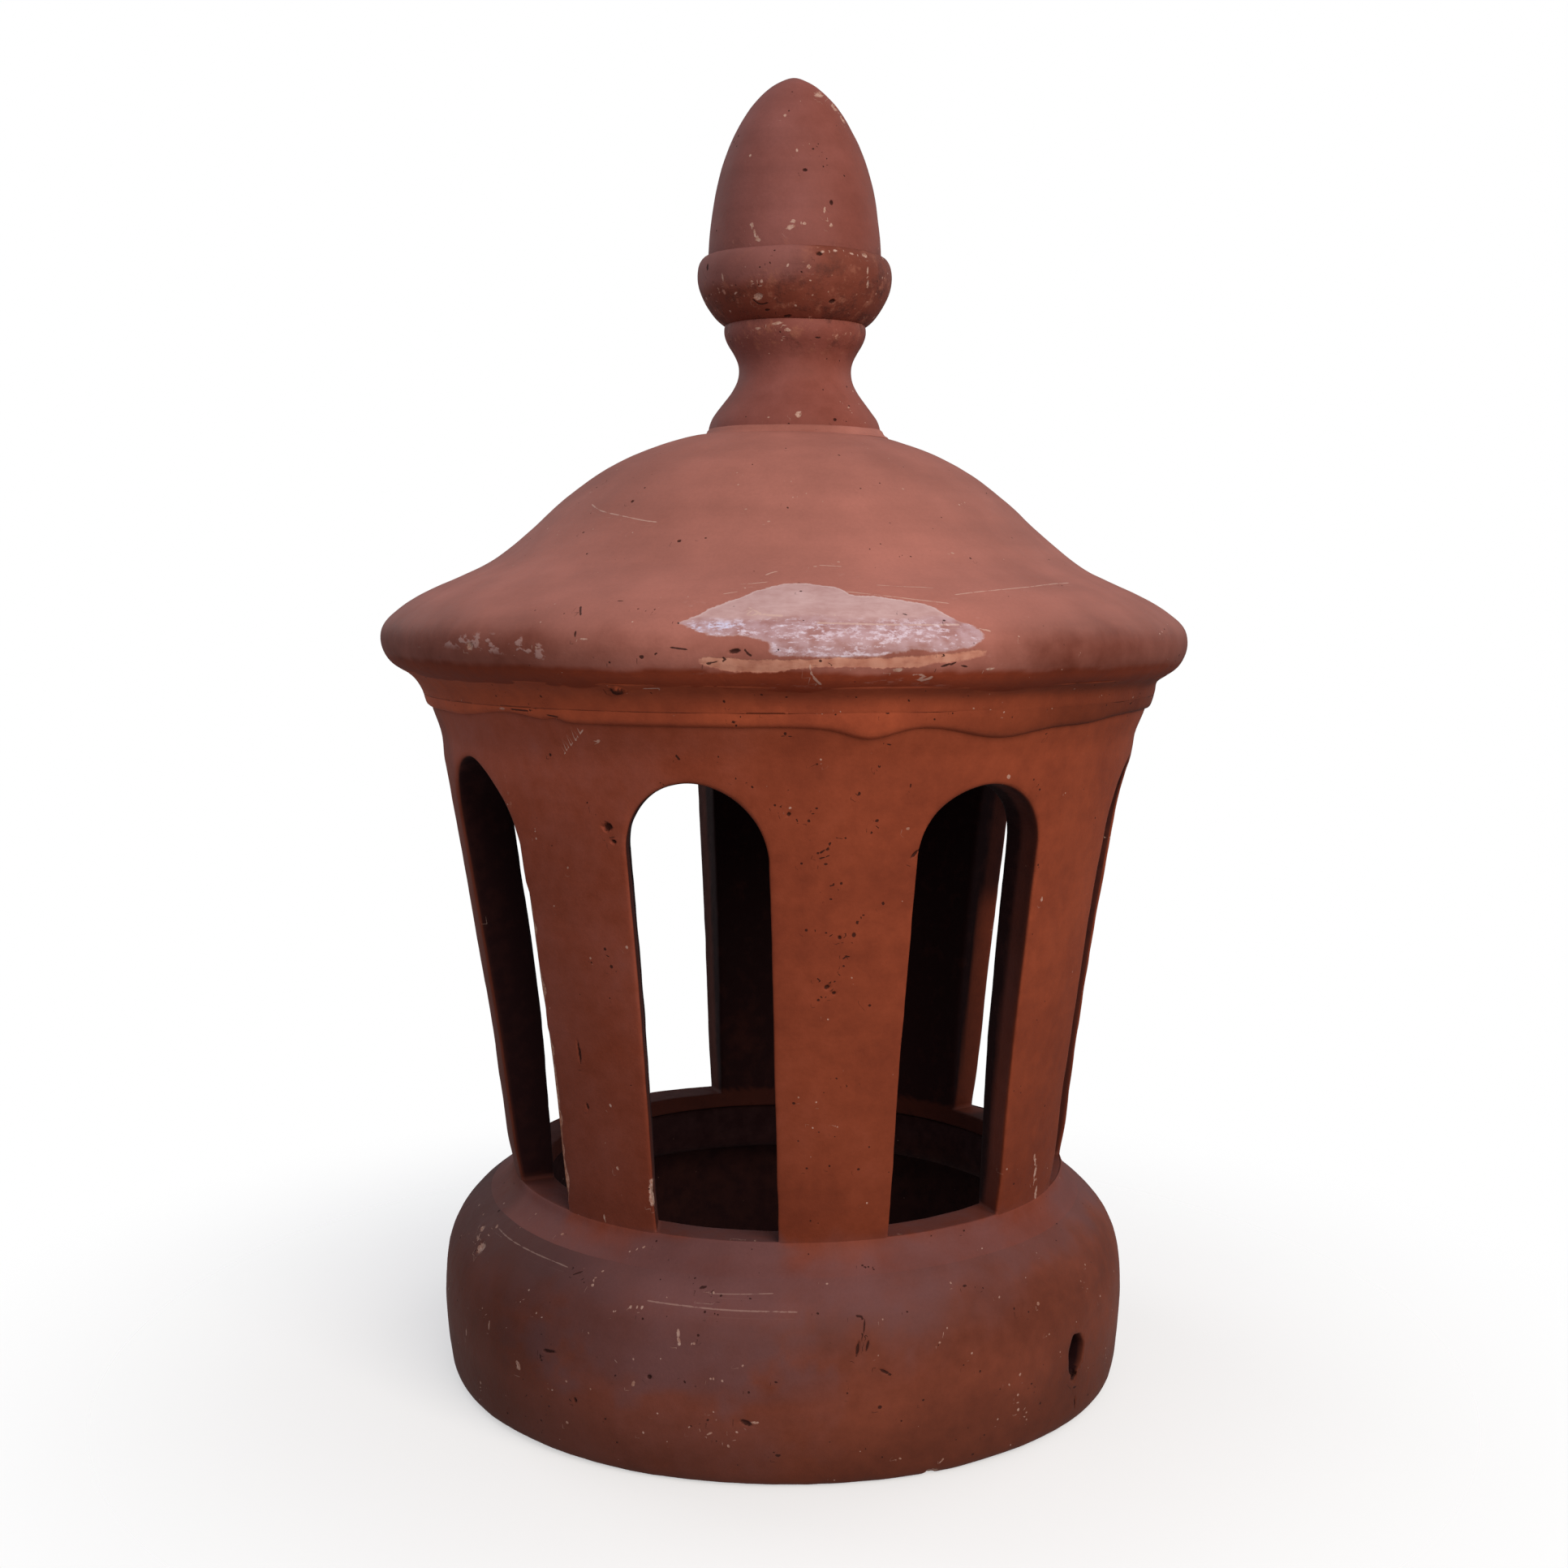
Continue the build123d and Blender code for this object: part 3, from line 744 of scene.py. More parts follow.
def finial_stem():
    outline = section([
        (1.2, [(12.0, 437.4), (40.4, 437.4)]),
        (1.0, STEM_FOOT_OUTER),
        (1.0, STEM_NECK_OUTER),
        (1.0, STEM_RING_OUTER),
        (2.0, [(32.4, 489.4), (12.0, 489.4)]),
        (3.0, [(12.0, 489.4), (12.0, 437.4)]),
    ])
    skin = Skin([*STEM_FOOT_OUTER, *STEM_NECK_OUTER[1:], *STEM_RING_OUTER[1:]], FINIAL_X)
    return lathe("finial_stem_clay", outline, 220, FINIAL_X), skin


def acorn_cup():
    outline = section([
        (2.0, [(12.0, 487.8), (32.2, 487.8)]),
        (1.0, CUP_OUTER),
        (1.4, [(40.6, 519.4), (39.8, 510.0)]),
        (3.0, [(39.8, 510.0), (12.0, 510.0)]),
        (3.0, [(12.0, 510.0), (12.0, 487.8)]),
    ])
    return lathe("acorn_cup_clay", outline, 260, FINIAL_X), Skin(CUP_OUTER, FINIAL_X)


def acorn():
    outline = section([
        (1.2, ACORN_OUTER),
        (3.0, [(40.2, 510.4), (22.0, 510.4)]),
        (3.0, [(22.0, 510.4), (22.0, 544.0)]),
        (3.0, [(22.0, 544.0), (15.6, 559.6), (0.0, 566.0)]),
    ], closed=False)
    return lathe("acorn_clay", outline, 240, FINIAL_X, closed=False), Skin(ACORN_OUTER, FINIAL_X)


# ---------------------------------------------------------------- drum

BAY = 360 / len(ARCHES)
SILL_STEPS = 34
JAMB_STEPS = 84
SHOULDER_STEPS = 22
HEAD_STEPS = 34
SHOULDER_Z = 270.0  # where the grid lines of an arch's head start on the side of its bay
HEAD_RADIUS = ARCH_TOP_Z - SPRING_Z
DRUM_AT_HEADS = 155.0  # the drum's radius about where the heads are
FIRST_BAY = -13.2 - BAY / 2


def arch_line(splays, wider_left=(0, 0), wider_right=(0, 0), rise=0.0, lean=0.0, foot=0.0):
    """The opening's outline on the outer face and on the inner face, as azimuths and heights."""
    side = np.linspace(0, 1, JAMB_STEPS, endpoint=False)
    turn = np.concatenate([
        np.linspace(0, 40, SHOULDER_STEPS, endpoint=False),
        np.linspace(40, 140, HEAD_STEPS, endpoint=False),
        np.linspace(140, 180, SHOULDER_STEPS, endpoint=False),
    ])
    turn = np.radians(turn)
    height = np.concatenate([
        np.full(SILL_STEPS, SILL_Z),
        SILL_Z + (SPRING_Z - SILL_Z) * side,
        SPRING_Z + (HEAD_RADIUS + rise) * np.sin(turn),
        SPRING_Z - (SPRING_Z - SILL_Z) * side,
    ])
    half = outer_radius(np.clip(height, SILL_Z, SPRING_Z)) * math.sin(math.radians(ARCH_HALF_ANGLE))
    half += (height > SPRING_Z) * (HEAD_RADIUS - half)
    across = np.concatenate([
        np.linspace(-1, 1, SILL_STEPS, endpoint=False),
        np.ones(JAMB_STEPS),
        np.cos(turn),
        -np.ones(JAMB_STEPS),
    ])
    depth = outer_radius(height) - inner_radius(height)
    left, right = [half + depth * math.tan(math.radians(splay)) for splay in splays]
    outer = np.arcsin(half * across / outer_radius(height))
    inner = np.arcsin(((left + right) / 2 * across + (right - left) / 2) / inner_radius(height))
    share = np.clip((height - SILL_Z) / (SPRING_Z - SILL_Z), 0, 1)
    wider_left, wider_right = [low + (high - low) * share for low, high in (wider_left, wider_right)]
    shift = np.radians((wider_right * (1 + across) - wider_left * (1 - across)) / 2)
    shift += lean / DRUM_AT_HEADS * np.clip((height - SPRING_Z) / HEAD_RADIUS, 0, 1)
    inner += np.radians(foot) * (1 - share) * (1 + across) / 2
    return outer + shift, inner + shift, height


def bay_line(left, right):
    """The bay's edge that the outline's points are joined to, as azimuths and heights."""
    up = np.linspace(SEAT_Z, SHOULDER_Z, JAMB_STEPS, endpoint=False)
    shoulder = np.linspace(SHOULDER_Z, EAVES_Z, SHOULDER_STEPS, endpoint=False)
    azimuth = np.concatenate([
        np.linspace(left, right, SILL_STEPS, endpoint=False),
        np.full(JAMB_STEPS + SHOULDER_STEPS, right),
        np.linspace(right, left, HEAD_STEPS, endpoint=False),
        np.full(JAMB_STEPS + SHOULDER_STEPS, left),
    ])
    height = np.concatenate([
        np.full(SILL_STEPS, SEAT_Z), up, shoulder, np.full(HEAD_STEPS, EAVES_Z),
        (SHOULDER_Z + EAVES_Z) - shoulder, (SEAT_Z + SHOULDER_Z) - up,
    ])
    return azimuth, height


def face_strip(edge_azimuth, edge_height, line_azimuth, line_height, shares, radius_at, centre):
    """Rows of points on one face of the drum, from the bay's edge to the opening's outline."""
    azimuth = centre + edge_azimuth[:, None] * (1 - shares) + line_azimuth[:, None] * shares
    height = edge_height[:, None] * (1 - shares) + line_height[:, None] * shares
    radius = radius_at(height)
    return np.stack([radius * np.sin(azimuth), -radius * np.cos(azimuth), height], axis=-1)


FRONT_ROWS = 17
BACK_ROWS = 11
REVEAL_SHARES = (0.05, 0.11, 0.2, 0.32, 0.45, 0.58, 0.7, 0.81, 0.89, 0.95)


def drum_bay(number):
    turn, *splays = ARCHES[number]
    centre = math.radians(turn)
    outer, inner, height = arch_line(splays, *UNEVEN.get(number, ()))
    bay_centre = FIRST_BAY + BAY * (number + 0.5)
    sides = [math.radians(bay_centre + half - turn) for half in (-BAY / 2, BAY / 2)]
    edge_azimuth, edge_height = bay_line(*sides)
    far = 1 - (1 - np.linspace(0, 1, FRONT_ROWS)) ** 1.25
    front = face_strip(edge_azimuth, edge_height, outer, height, far, outer_radius, centre)
    near = 1 - (1 - np.linspace(0, 1, BACK_ROWS)) ** 1.3
    back = face_strip(edge_azimuth, edge_height, inner, height, near, inner_radius, centre)[:, ::-1]
    shares = np.array(REVEAL_SHARES)[None, :, None]
    reveal = front[:, -1:] * (1 - shares) + back[:, :1] * shares
    rows = np.concatenate([front, reveal, back], axis=1)
    for corner in (FRONT_ROWS - 1, FRONT_ROWS + len(REVEAL_SHARES)):
        for _ in range(3):
            smooth = (rows[:, :-2] + 2 * rows[:, 1:-1] + rows[:, 2:]) / 4
            rows[:, corner - 2:corner + 3] = smooth[:, corner - 3:corner + 2]
    return rows


def drum():
    bays = np.stack([drum_bay(number) for number in range(len(ARCHES))])
    count, along, across = bays.shape[:3]
    index = np.arange(count * along * across).reshape(count, along, across)
    faces = []
    for bay in index:
        faces += grid_faces(bay, wrap_columns=False).tolist()
        top_start = SILL_STEPS + JAMB_STEPS + SHOULDER_STEPS
        for start, steps in ((0, SILL_STEPS), (top_start, HEAD_STEPS)):
            for a in range(start, start + steps):
                b = (a + 1) % along
                faces.append([bay[a, -1], bay[b, -1], bay[b, 0], bay[a, 0]])
    piece = mesh_object("drum_clay", bays.reshape(-1, 3), faces)
    rows = np.arange(across)
    # where the painted highlight along the openings' arris is laid
    arris = np.exp(-(rows - FRONT_ROWS + 1.0) ** 2 / 2.0)
    store(piece, "arris", np.tile(arris, count * along))
    weld(piece)
    heights = np.linspace(SEAT_Z, EAVES_Z, 60)
    return piece, Skin(np.column_stack([outer_radius(heights), heights]))


# ---------------------------------------------------------------- hand and weather

# One hand smoothed these together, so their unevenness runs on from one to the next
BONDED = ("base_ring", "foot_lute", "drum", "cornice_band", "rim_lute")
ROOFED = ("roof", "finial_lute", "finial_stem", "acorn_cup", "acorn")
CHIPPED_JAMB = -47.2  # the arris of this jamb has broken away
CHIPPED_HEIGHTS = range(100, 246, 3)

# Small pits and pale flecks strewn over each piece: count, heights, size
STREWN_PITS = {
    "drum": (190, (92, 325), 0.42), "base_ring": (170, (3, 87), 0.46), "roof": (130, (333, 432), 0.42),
    "acorn": (26, (514, 592), 0.4), "acorn_cup": (22, (492, 518), 0.45), "finial_stem": (24, (440, 486), 0.4),
    "cornice_band": (60, (315, 326), 0.45), "foot_lute": (30, (83, 94), 0.4),
    "rim_lute": (60, (320, 331), 0.45),
}
STREWN_FLECKS = {
    "drum": (120, (92, 325), 0.38), "base_ring": (190, (3, 87), 0.42), "roof": (110, (333, 432), 0.36),
    "acorn": (26, (514, 592), 0.38), "acorn_cup": (46, (490, 518), 0.5), "finial_stem": (30, (440, 486), 0.4),
    "cornice_band": (26, (315, 326), 0.38), "foot_lute": (26, (83, 94), 0.38),
    "rim_lute": (30, (320, 331), 0.4),
}


def hand_work(piece, seed):
    """Uneven walls: a slow sway shared by all pieces, then dents and finger ridges of its own."""
    points = coordinates(piece)
    outward = points * (1, 1, 0)
    outward /= np.maximum(np.linalg.norm(outward, axis=1, keepdims=True), 1e-6)
    radius = np.hypot(points[:, 0], points[:, 1])
    sway = 0.8 * MM * value_noise(points, 0.150, 1) + 0.5 * MM * value_noise(points, 0.070, 2)
    sway *= np.clip(radius / 0.1, 0, 1)
    face = normals(piece)
    rough = 0.26 * value_noise(points, 0.034, 3 + seed) + 0.13 * value_noise(points, 0.013, 4 + seed)
    rough += 0.06 * value_noise(points, 0.005, 5 + seed)
    ridges = 0.14 * value_noise(points * (0.12, 0.12, 1), 0.0065, 6 + seed)
    ridges *= 0.6 + 0.4 * value_noise(points, 0.060, 7 + seed)
    return outward * sway[:, None] + face * ((rough + ridges) * MM)[:, None]


def hollows(name, skin, points):
    """How far the holes and chips sink the surface, in millimetres."""
    sunk = np.zeros(len(points))
    placed = skin.place(points)
    uneven = 0.28 * value_noise(points, 1.6, 41) + 0.14 * value_noise(points, 0.7, 42)
    for mark in HOLES.get(name, []) + CHIPS.get(name, []):
        _, u, v = across_spot(skin, placed, without_depth(mark))
        share = np.hypot(u, v) + uneven
        sunk = np.maximum(sunk, mark[4] * ramp(share, 1.12, 0.35) * (placed[3] < SKIN_DEPTH))
    return sunk


def without_depth(mark):
    """A hole or a chip as a spot."""
    return mark[:4] + mark[5:]


def broken_arris(skin, points):
    """How far inside the broken edge of the chipped jamb a point lies, in millimetres."""
    azimuth, _, radius, depth = skin.place(points)
    aside = radius * np.radians(turn_between(azimuth, CHIPPED_JAMB))
    height = points[:, 2]
    flat = np.column_stack([0 * height, 0 * height, height])
    width = 2.9 + 1.5 * value_noise(flat, 14.0, 51) + 1.0 * value_noise(flat, 4.5, 52)
    width *= ramp(height, 98, 104) * ramp(height, 248, 240)
    reach = np.hypot(np.maximum(aside, 0), 1.3 * np.maximum(depth, 0))
    near = (aside > -3) & (aside < 8) & (depth < 5)
    return np.where(near, width - reach, -9.0)


def weather(name, piece, skin, seed):
    """Keep on each point what the material needs to know about marks, dust, soot and painted shade, the
    painted light and shade of each region, and the painted reflection on the roof.
    """
    points = coordinates(piece) / MM
    pits = [without_depth(hole) for hole in HOLES.get(name, [])] + PITS.get(name, [])
    flecks = [without_depth(chip) for chip in CHIPS.get(name, [])] + FLECKS.get(name, [])
    if name in STREWN_PITS:
        count, heights, size = STREWN_PITS[name]
        pits += scattered(seed, count, heights, size)
    if name in STREWN_FLECKS:
        count, heights, size = STREWN_FLECKS[name]
        flecks += scattered(seed + 50, count, heights, size)
    store(piece, "pit", spot_fields(skin, points, pits))
    store(piece, "fleck", spot_fields(skin, points, flecks))
    store(piece, "scratch", stroke_fields(skin, points, SCRATCHES.get(name, [])))
    store(piece, "cut", stroke_fields(skin, points, CUTS.get(name, [])))
    store(piece, "bloom", bloom(name, skin, points))
    store(piece, "soot_and_shade", soot_and_shade(name, skin, points))
    store(piece, "painted_light_shade_and_dirt", painted_light_shade_and_dirt(name, skin, points))
    store(piece, "crust", crust(name, skin, points))
    if name == "roof":
        # painted reflection: where the polished patch shows its brightest bluish gleam
        painted_reflection = spot_fields(skin, points, [(-8.5, 354.0, 14.0, 4.2, 0.12)])
        store(piece, "painted_reflection", ramp(np.hypot(painted_reflection[:, 0], painted_reflection[:, 1]), 1.2, 0.3))
        store(piece, "polished", patch_field(skin, points, POLISHED))
        store(piece, "stripped", patch_field(skin, points, BARE_STRIP))
        store(piece, "flaked", patch_field(skin, points, FLAKED))
    if name == "drum":
        store(piece, "broken", broken_arris(skin, points))
    for field in ("polished", "stripped", "flaked", "broken"):
        if field not in piece.data.attributes:
            store(piece, field, np.full(len(points), OUTSIDE))


def bloom(name, skin, points):
    """Share of the pale dusty bloom that lies on surfaces the rain reaches."""
    azimuth, _, _, depth = skin.place(points)
    height = points[:, 2]
    wavy = 1.1 * value_noise(points, 14.0, 61) + 0.5 * value_noise(points, 4.0, 62)
    lit = ramp(turn_between(azimuth, 40), -75, 10) * ramp(turn_between(azimuth, 40), 95, 20)
    if name == "roof":
        side = 0.55 + 0.45 * ramp(np.abs(azimuth), 22, 36)
        return ramp(height + wavy, 334.6, 338.6) * (1 - 0.5 * side * ramp(height + 2 * wavy, 360, 346))
    if name in ("base_ring", "foot_lute", "drum"):
        dust = ramp(height + 8 * wavy, 30, 90) * (1 - 0.3 * lit) * 0.95
        low_dust = ramp(azimuth + 8 * wavy, -58, -34) * ramp(azimuth + 8 * wavy, 16, -6)
        dust = np.maximum(dust, 0.72 * low_dust * ramp(height + 8 * wavy, 16, 52))
        dust *= 1 - 0.30 * ramp(azimuth, -36, -56) * ramp(azimuth, -120, -90)
        dust = np.maximum(dust, 0.30 * turn_ramp(azimuth + 12 * wavy, 18, -16) * (name == "base_ring"))
        dust *= 1 - 0.7 * turn_ramp(azimuth, 32, 50) * ramp(height + 4 * wavy, 84, 70)
        dust *= ramp(height + 3 * wavy, 106, 92)
        pier = ramp(np.abs((azimuth + 3 * wavy - FIRST_BAY) % BAY - BAY / 2), 8, 19)
        dust *= 1 - 0.5 * pier * ramp(height + 3 * wavy, 78, 96)
        if name != "drum":
            return dust
        face = 0.10 + 0.22 * turn_ramp(azimuth, 14, -30) - 0.06 * turn_ramp(azimuth, 20, 40)
        jamb = 0.42 * ramp(depth, 0.6, 2.0) * ramp(np.abs(azimuth), 100, 80)
        dust *= 1 - 0.7 * ramp(depth, 0.6, 3.0) * ramp(np.abs(azimuth), 80, 110)
        return np.maximum(np.maximum(dust, face), jamb)
    flat = {"acorn": 0.7, "finial_stem": 0.5, "acorn_cup": 0.15, "finial_lute": 0.8}
    share = np.full(len(points), flat.get(name, 0.0))
    if name == "acorn_cup":
        share += 0.85 * ramp(height + wavy, 499, 509) * turn_ramp(azimuth, 22, -12)
    if name in ("acorn", "finial_stem"):
        share *= 1.15 - 0.5 * lit
    return share


def crust(name, skin, points):
    """Share of dark lime and moss crust: on the cup and where it meets its neighbours."""
    azimuth = skin.place(points)[0]
    height = points[:, 2] + 1.6 * value_noise(points, 9.0, 81)
    if name == "acorn_cup":
        spared = ramp(height, 500, 510) * turn_ramp(azimuth, 15, -15)
        return (0.55 + 0.45 * ramp(height, 514, 504)) * (1 - 0.7 * spared)
    if name == "finial_stem":
        return ramp(height, 470, 480)
    if name == "acorn":
        return 0.5 * ramp(height, 527, 519)
    return np.zeros(len(points))


# Painted light and shade on the cornice band and the rim lute under the roof's overhang: brightness of the
# clay in the middle of the front, what its left adds, and what its right and its back take
BAND_PAINTED_LIGHT = {"cornice_band": (1.5, 0.45, 0.85, 0.6), "rim_lute": (1.4, 0.2, 0.6, 0.4)}


def painted_light_shade_and_dirt(name, skin, points):
    """How bright the clay of each region is painted: mostly painted light and shade, with some dirt at the
    ends of the roof's rim. It is brighter up the drum, on the band and the rim lute under the overhang and
    under the roof's rim, and darker low on the base, towards some sides and at the back.
    """
    azimuth, _, _, _ = skin.place(points)
    height = points[:, 2]
    slow = value_noise(points, 40.0, 71)
    height = height + 5 * slow
    azimuth = azimuth + 4 * slow
    if name == "base_ring":
        # painted shade: the base ring darker towards the bottom and on its left; the top of its shoulder
        # painted lighter towards the right
        left = ramp(azimuth, -26, -52) * ramp(azimuth, -150, -110)
        right = ramp(azimuth, 12, 40) * ramp(azimuth, 120, 80)
        low = ramp(height, 42, 10)
        shoulder = 1 + 0.3 * ramp(height, 64, 80) * ramp(azimuth, -48, -12)
        return 0.88 * shoulder * (1 - 0.36 * low) * (1 - (0.30 - 0.17 * low) * left) * (1 - 0.08 * right)
    if name in ("drum", "foot_lute"):
        # painted light: the drum brighter upwards and at its upper left front; painted shade on a stretch of
        # its left side
        bright = 1 + 0.42 * turn_ramp(azimuth, -18, -50) * ramp(height, 245, 292)
        bright *= 1 - 0.3 * ramp(azimuth, -64, -70) * ramp(azimuth, -100, -84)
        return (0.78 + 0.32 * ramp(height, 90, 245) + 0.12 * (name == "foot_lute")) * bright
    if name in BAND_PAINTED_LIGHT:
        middle, left, right, behind = BAND_PAINTED_LIGHT[name]
        sides = left * turn_ramp(azimuth, -15, -45) - right * turn_ramp(azimuth, 8, 45)
        return middle + sides - behind * ramp(np.abs(azimuth), 110, 150)
    if name == "roof":
        # painted light under the roof's rim; painted shade with some dirt at the ends of the rim, and darker
        # towards its right
        ends = 1 - 0.2 * ramp(np.abs(azimuth), 18, 34) * ramp(height, 366, 350)
        return ends * (1 - 0.12 * turn_ramp(azimuth, 10, 45)) * (1 + 0.55 * ramp(points[:, 2], 339, 334))
    return np.ones(len(points))


def soot_and_shade(name, skin, points):
    """Share of the dark colour: soot stain and painted shade on the inside, on the sides of the openings and
    in the fixing holes, held back as painted light where light reaches in.
    """
    azimuth, _, _, depth = skin.place(points)
    if name == "drum":
        # soot and painted shade on the reveals and the inner face, less on the reveals lower down and further
        # in
        reveal = 0.86 - 0.20 * ramp(depth, 2, 13) - 0.14 * ramp(points[:, 2], 215, 110)
        # painted light: the right jamb of the opening at 43 degrees is lighter, most of all low down
        lit_near_jamb = np.exp(-(turn_between(azimuth, 43.0) / 5) ** 2)
        reveal -= lit_near_jamb * (0.12 + 0.52 * ramp(points[:, 2], 245, 110))
        # painted shade: the jamb at -57.6 degrees is made darker
        reveal += (0.96 - reveal) * ramp(np.abs(turn_between(azimuth, -57.6)), 26, 18)
        # the sills: lighter in front, painted shade on those behind
        sill = ramp(points[:, 2], SILL_Z + 2.5, SILL_Z + 0.8)
        reveal = reveal * (1 - sill) + (0.12 + 0.6 * ramp(np.abs(azimuth), 80, 100)) * sill
        dark = reveal * ramp(depth, 0.3, 1.7) + (1 - reveal) * ramp(depth, 9.0, 15.0) * (1 - sill)
        # painted light: low on the far jamb at 131 degrees, lit from behind, the dark is cleared
        lit_far_jamb = ramp(turn_between(azimuth, 131), -7, -3) * ramp(turn_between(azimuth, 131), 7, 3)
        dark *= 1 - 0.92 * lit_far_jamb * ramp(points[:, 2], 215, 196) * ramp(depth, 15, 12)
        # a patch of the inner face at the back is painted a little lighter
        paler_back_patch = np.exp(-(turn_between(azimuth, 191.5) / 4.0) ** 2 - ((points[:, 2] - 128) / 22) ** 2)
        return dark - 0.10 * paler_back_patch * (depth > 12)
    if name == "roof":
        # painted shade on the roof's inner side
        return ramp(depth, 8.0, 14.0)
    if name == "base_ring":
        # soot and painted shade inside the base ring, and painted shade in the fixing holes
        inside = 0.93 * ramp(depth, 8.0, 18.0) * ramp(points[:, 2], 1.0, 6.0)
        holes = [np.abs(turn_between(azimuth, turn)) < 5 for turn in FIXING_HOLES]
        bored = np.any(holes, axis=0) & (np.abs(points[:, 2] - FIXING_Z) < 10)
        return np.maximum(inside, 0.97 * bored * ramp(depth, 0.4, 1.8))
    # painted shade on the inner sides of the other pieces
    return 0.3 * ramp(depth, 6.0, 12.0)


def settle(name, points):
    """Set the piece where the mason left it: a little off the axis, the roof leaning."""
    shift = {"base_ring": BASE_X, "drum": DRUM_X, "cornice_band": DRUM_X}
    moved = points + (shift.get(name, 0.0) * MM, 0, 0)
    if name in ("drum", "cornice_band"):
        moved[:, 0] += DRUM_HEAD_X * MM * ramp(points[:, 2] / MM, 280, 314)
    if name == "foot_lute":
        moved[:, 0] += (BASE_X + (DRUM_X - BASE_X) * ramp(points[:, 2] / MM, 82, 93)) * MM
    if name in ROOFED or name == "rim_lute":
        turn, pivot = math.radians(ROOF_TILT), EAVES_Z * MM
        leaned = points.copy()
        leaned[:, 0] = points[:, 0] * math.cos(turn) + (points[:, 2] - pivot) * math.sin(turn)
        leaned[:, 2] = pivot - points[:, 0] * math.sin(turn) + (points[:, 2] - pivot) * math.cos(turn)
        share = ramp(points[:, 2] / MM, 320, 330)[:, None] if name == "rim_lute" else 1.0
        if name not in ("roof", "rim_lute"):
            leaned[:, 0] -= FINIAL_LEAN * (points[:, 2] - FINIAL_PIVOT_Z * MM)
        moved = share * leaned + (1 - share) * (points + ((DRUM_X + DRUM_HEAD_X) * MM, 0, 0))
    return moved


# ---------------------------------------------------------------- clay materials

class Value:
    """What a node gives out. Arithmetic on it adds nodes to the same material."""

    def __init__(self, shader, socket):
        self.shader = shader
        self.socket = socket

    def __add__(self, other):
        return self.shader.math("ADD", self, other)

    def __sub__(self, other):
        return self.shader.math("SUBTRACT", self, other)

    def __rsub__(self, other):
        return self.shader.math("SUBTRACT", other, self)

    def __mul__(self, other):
        return self.shader.math("MULTIPLY", self, other)

    def __truediv__(self, other):
        return self.shader.math("DIVIDE", self, other)

    def __abs__(self):
        return self.shader.math("ABSOLUTE", self)

    __radd__ = __add__
    __rmul__ = __mul__


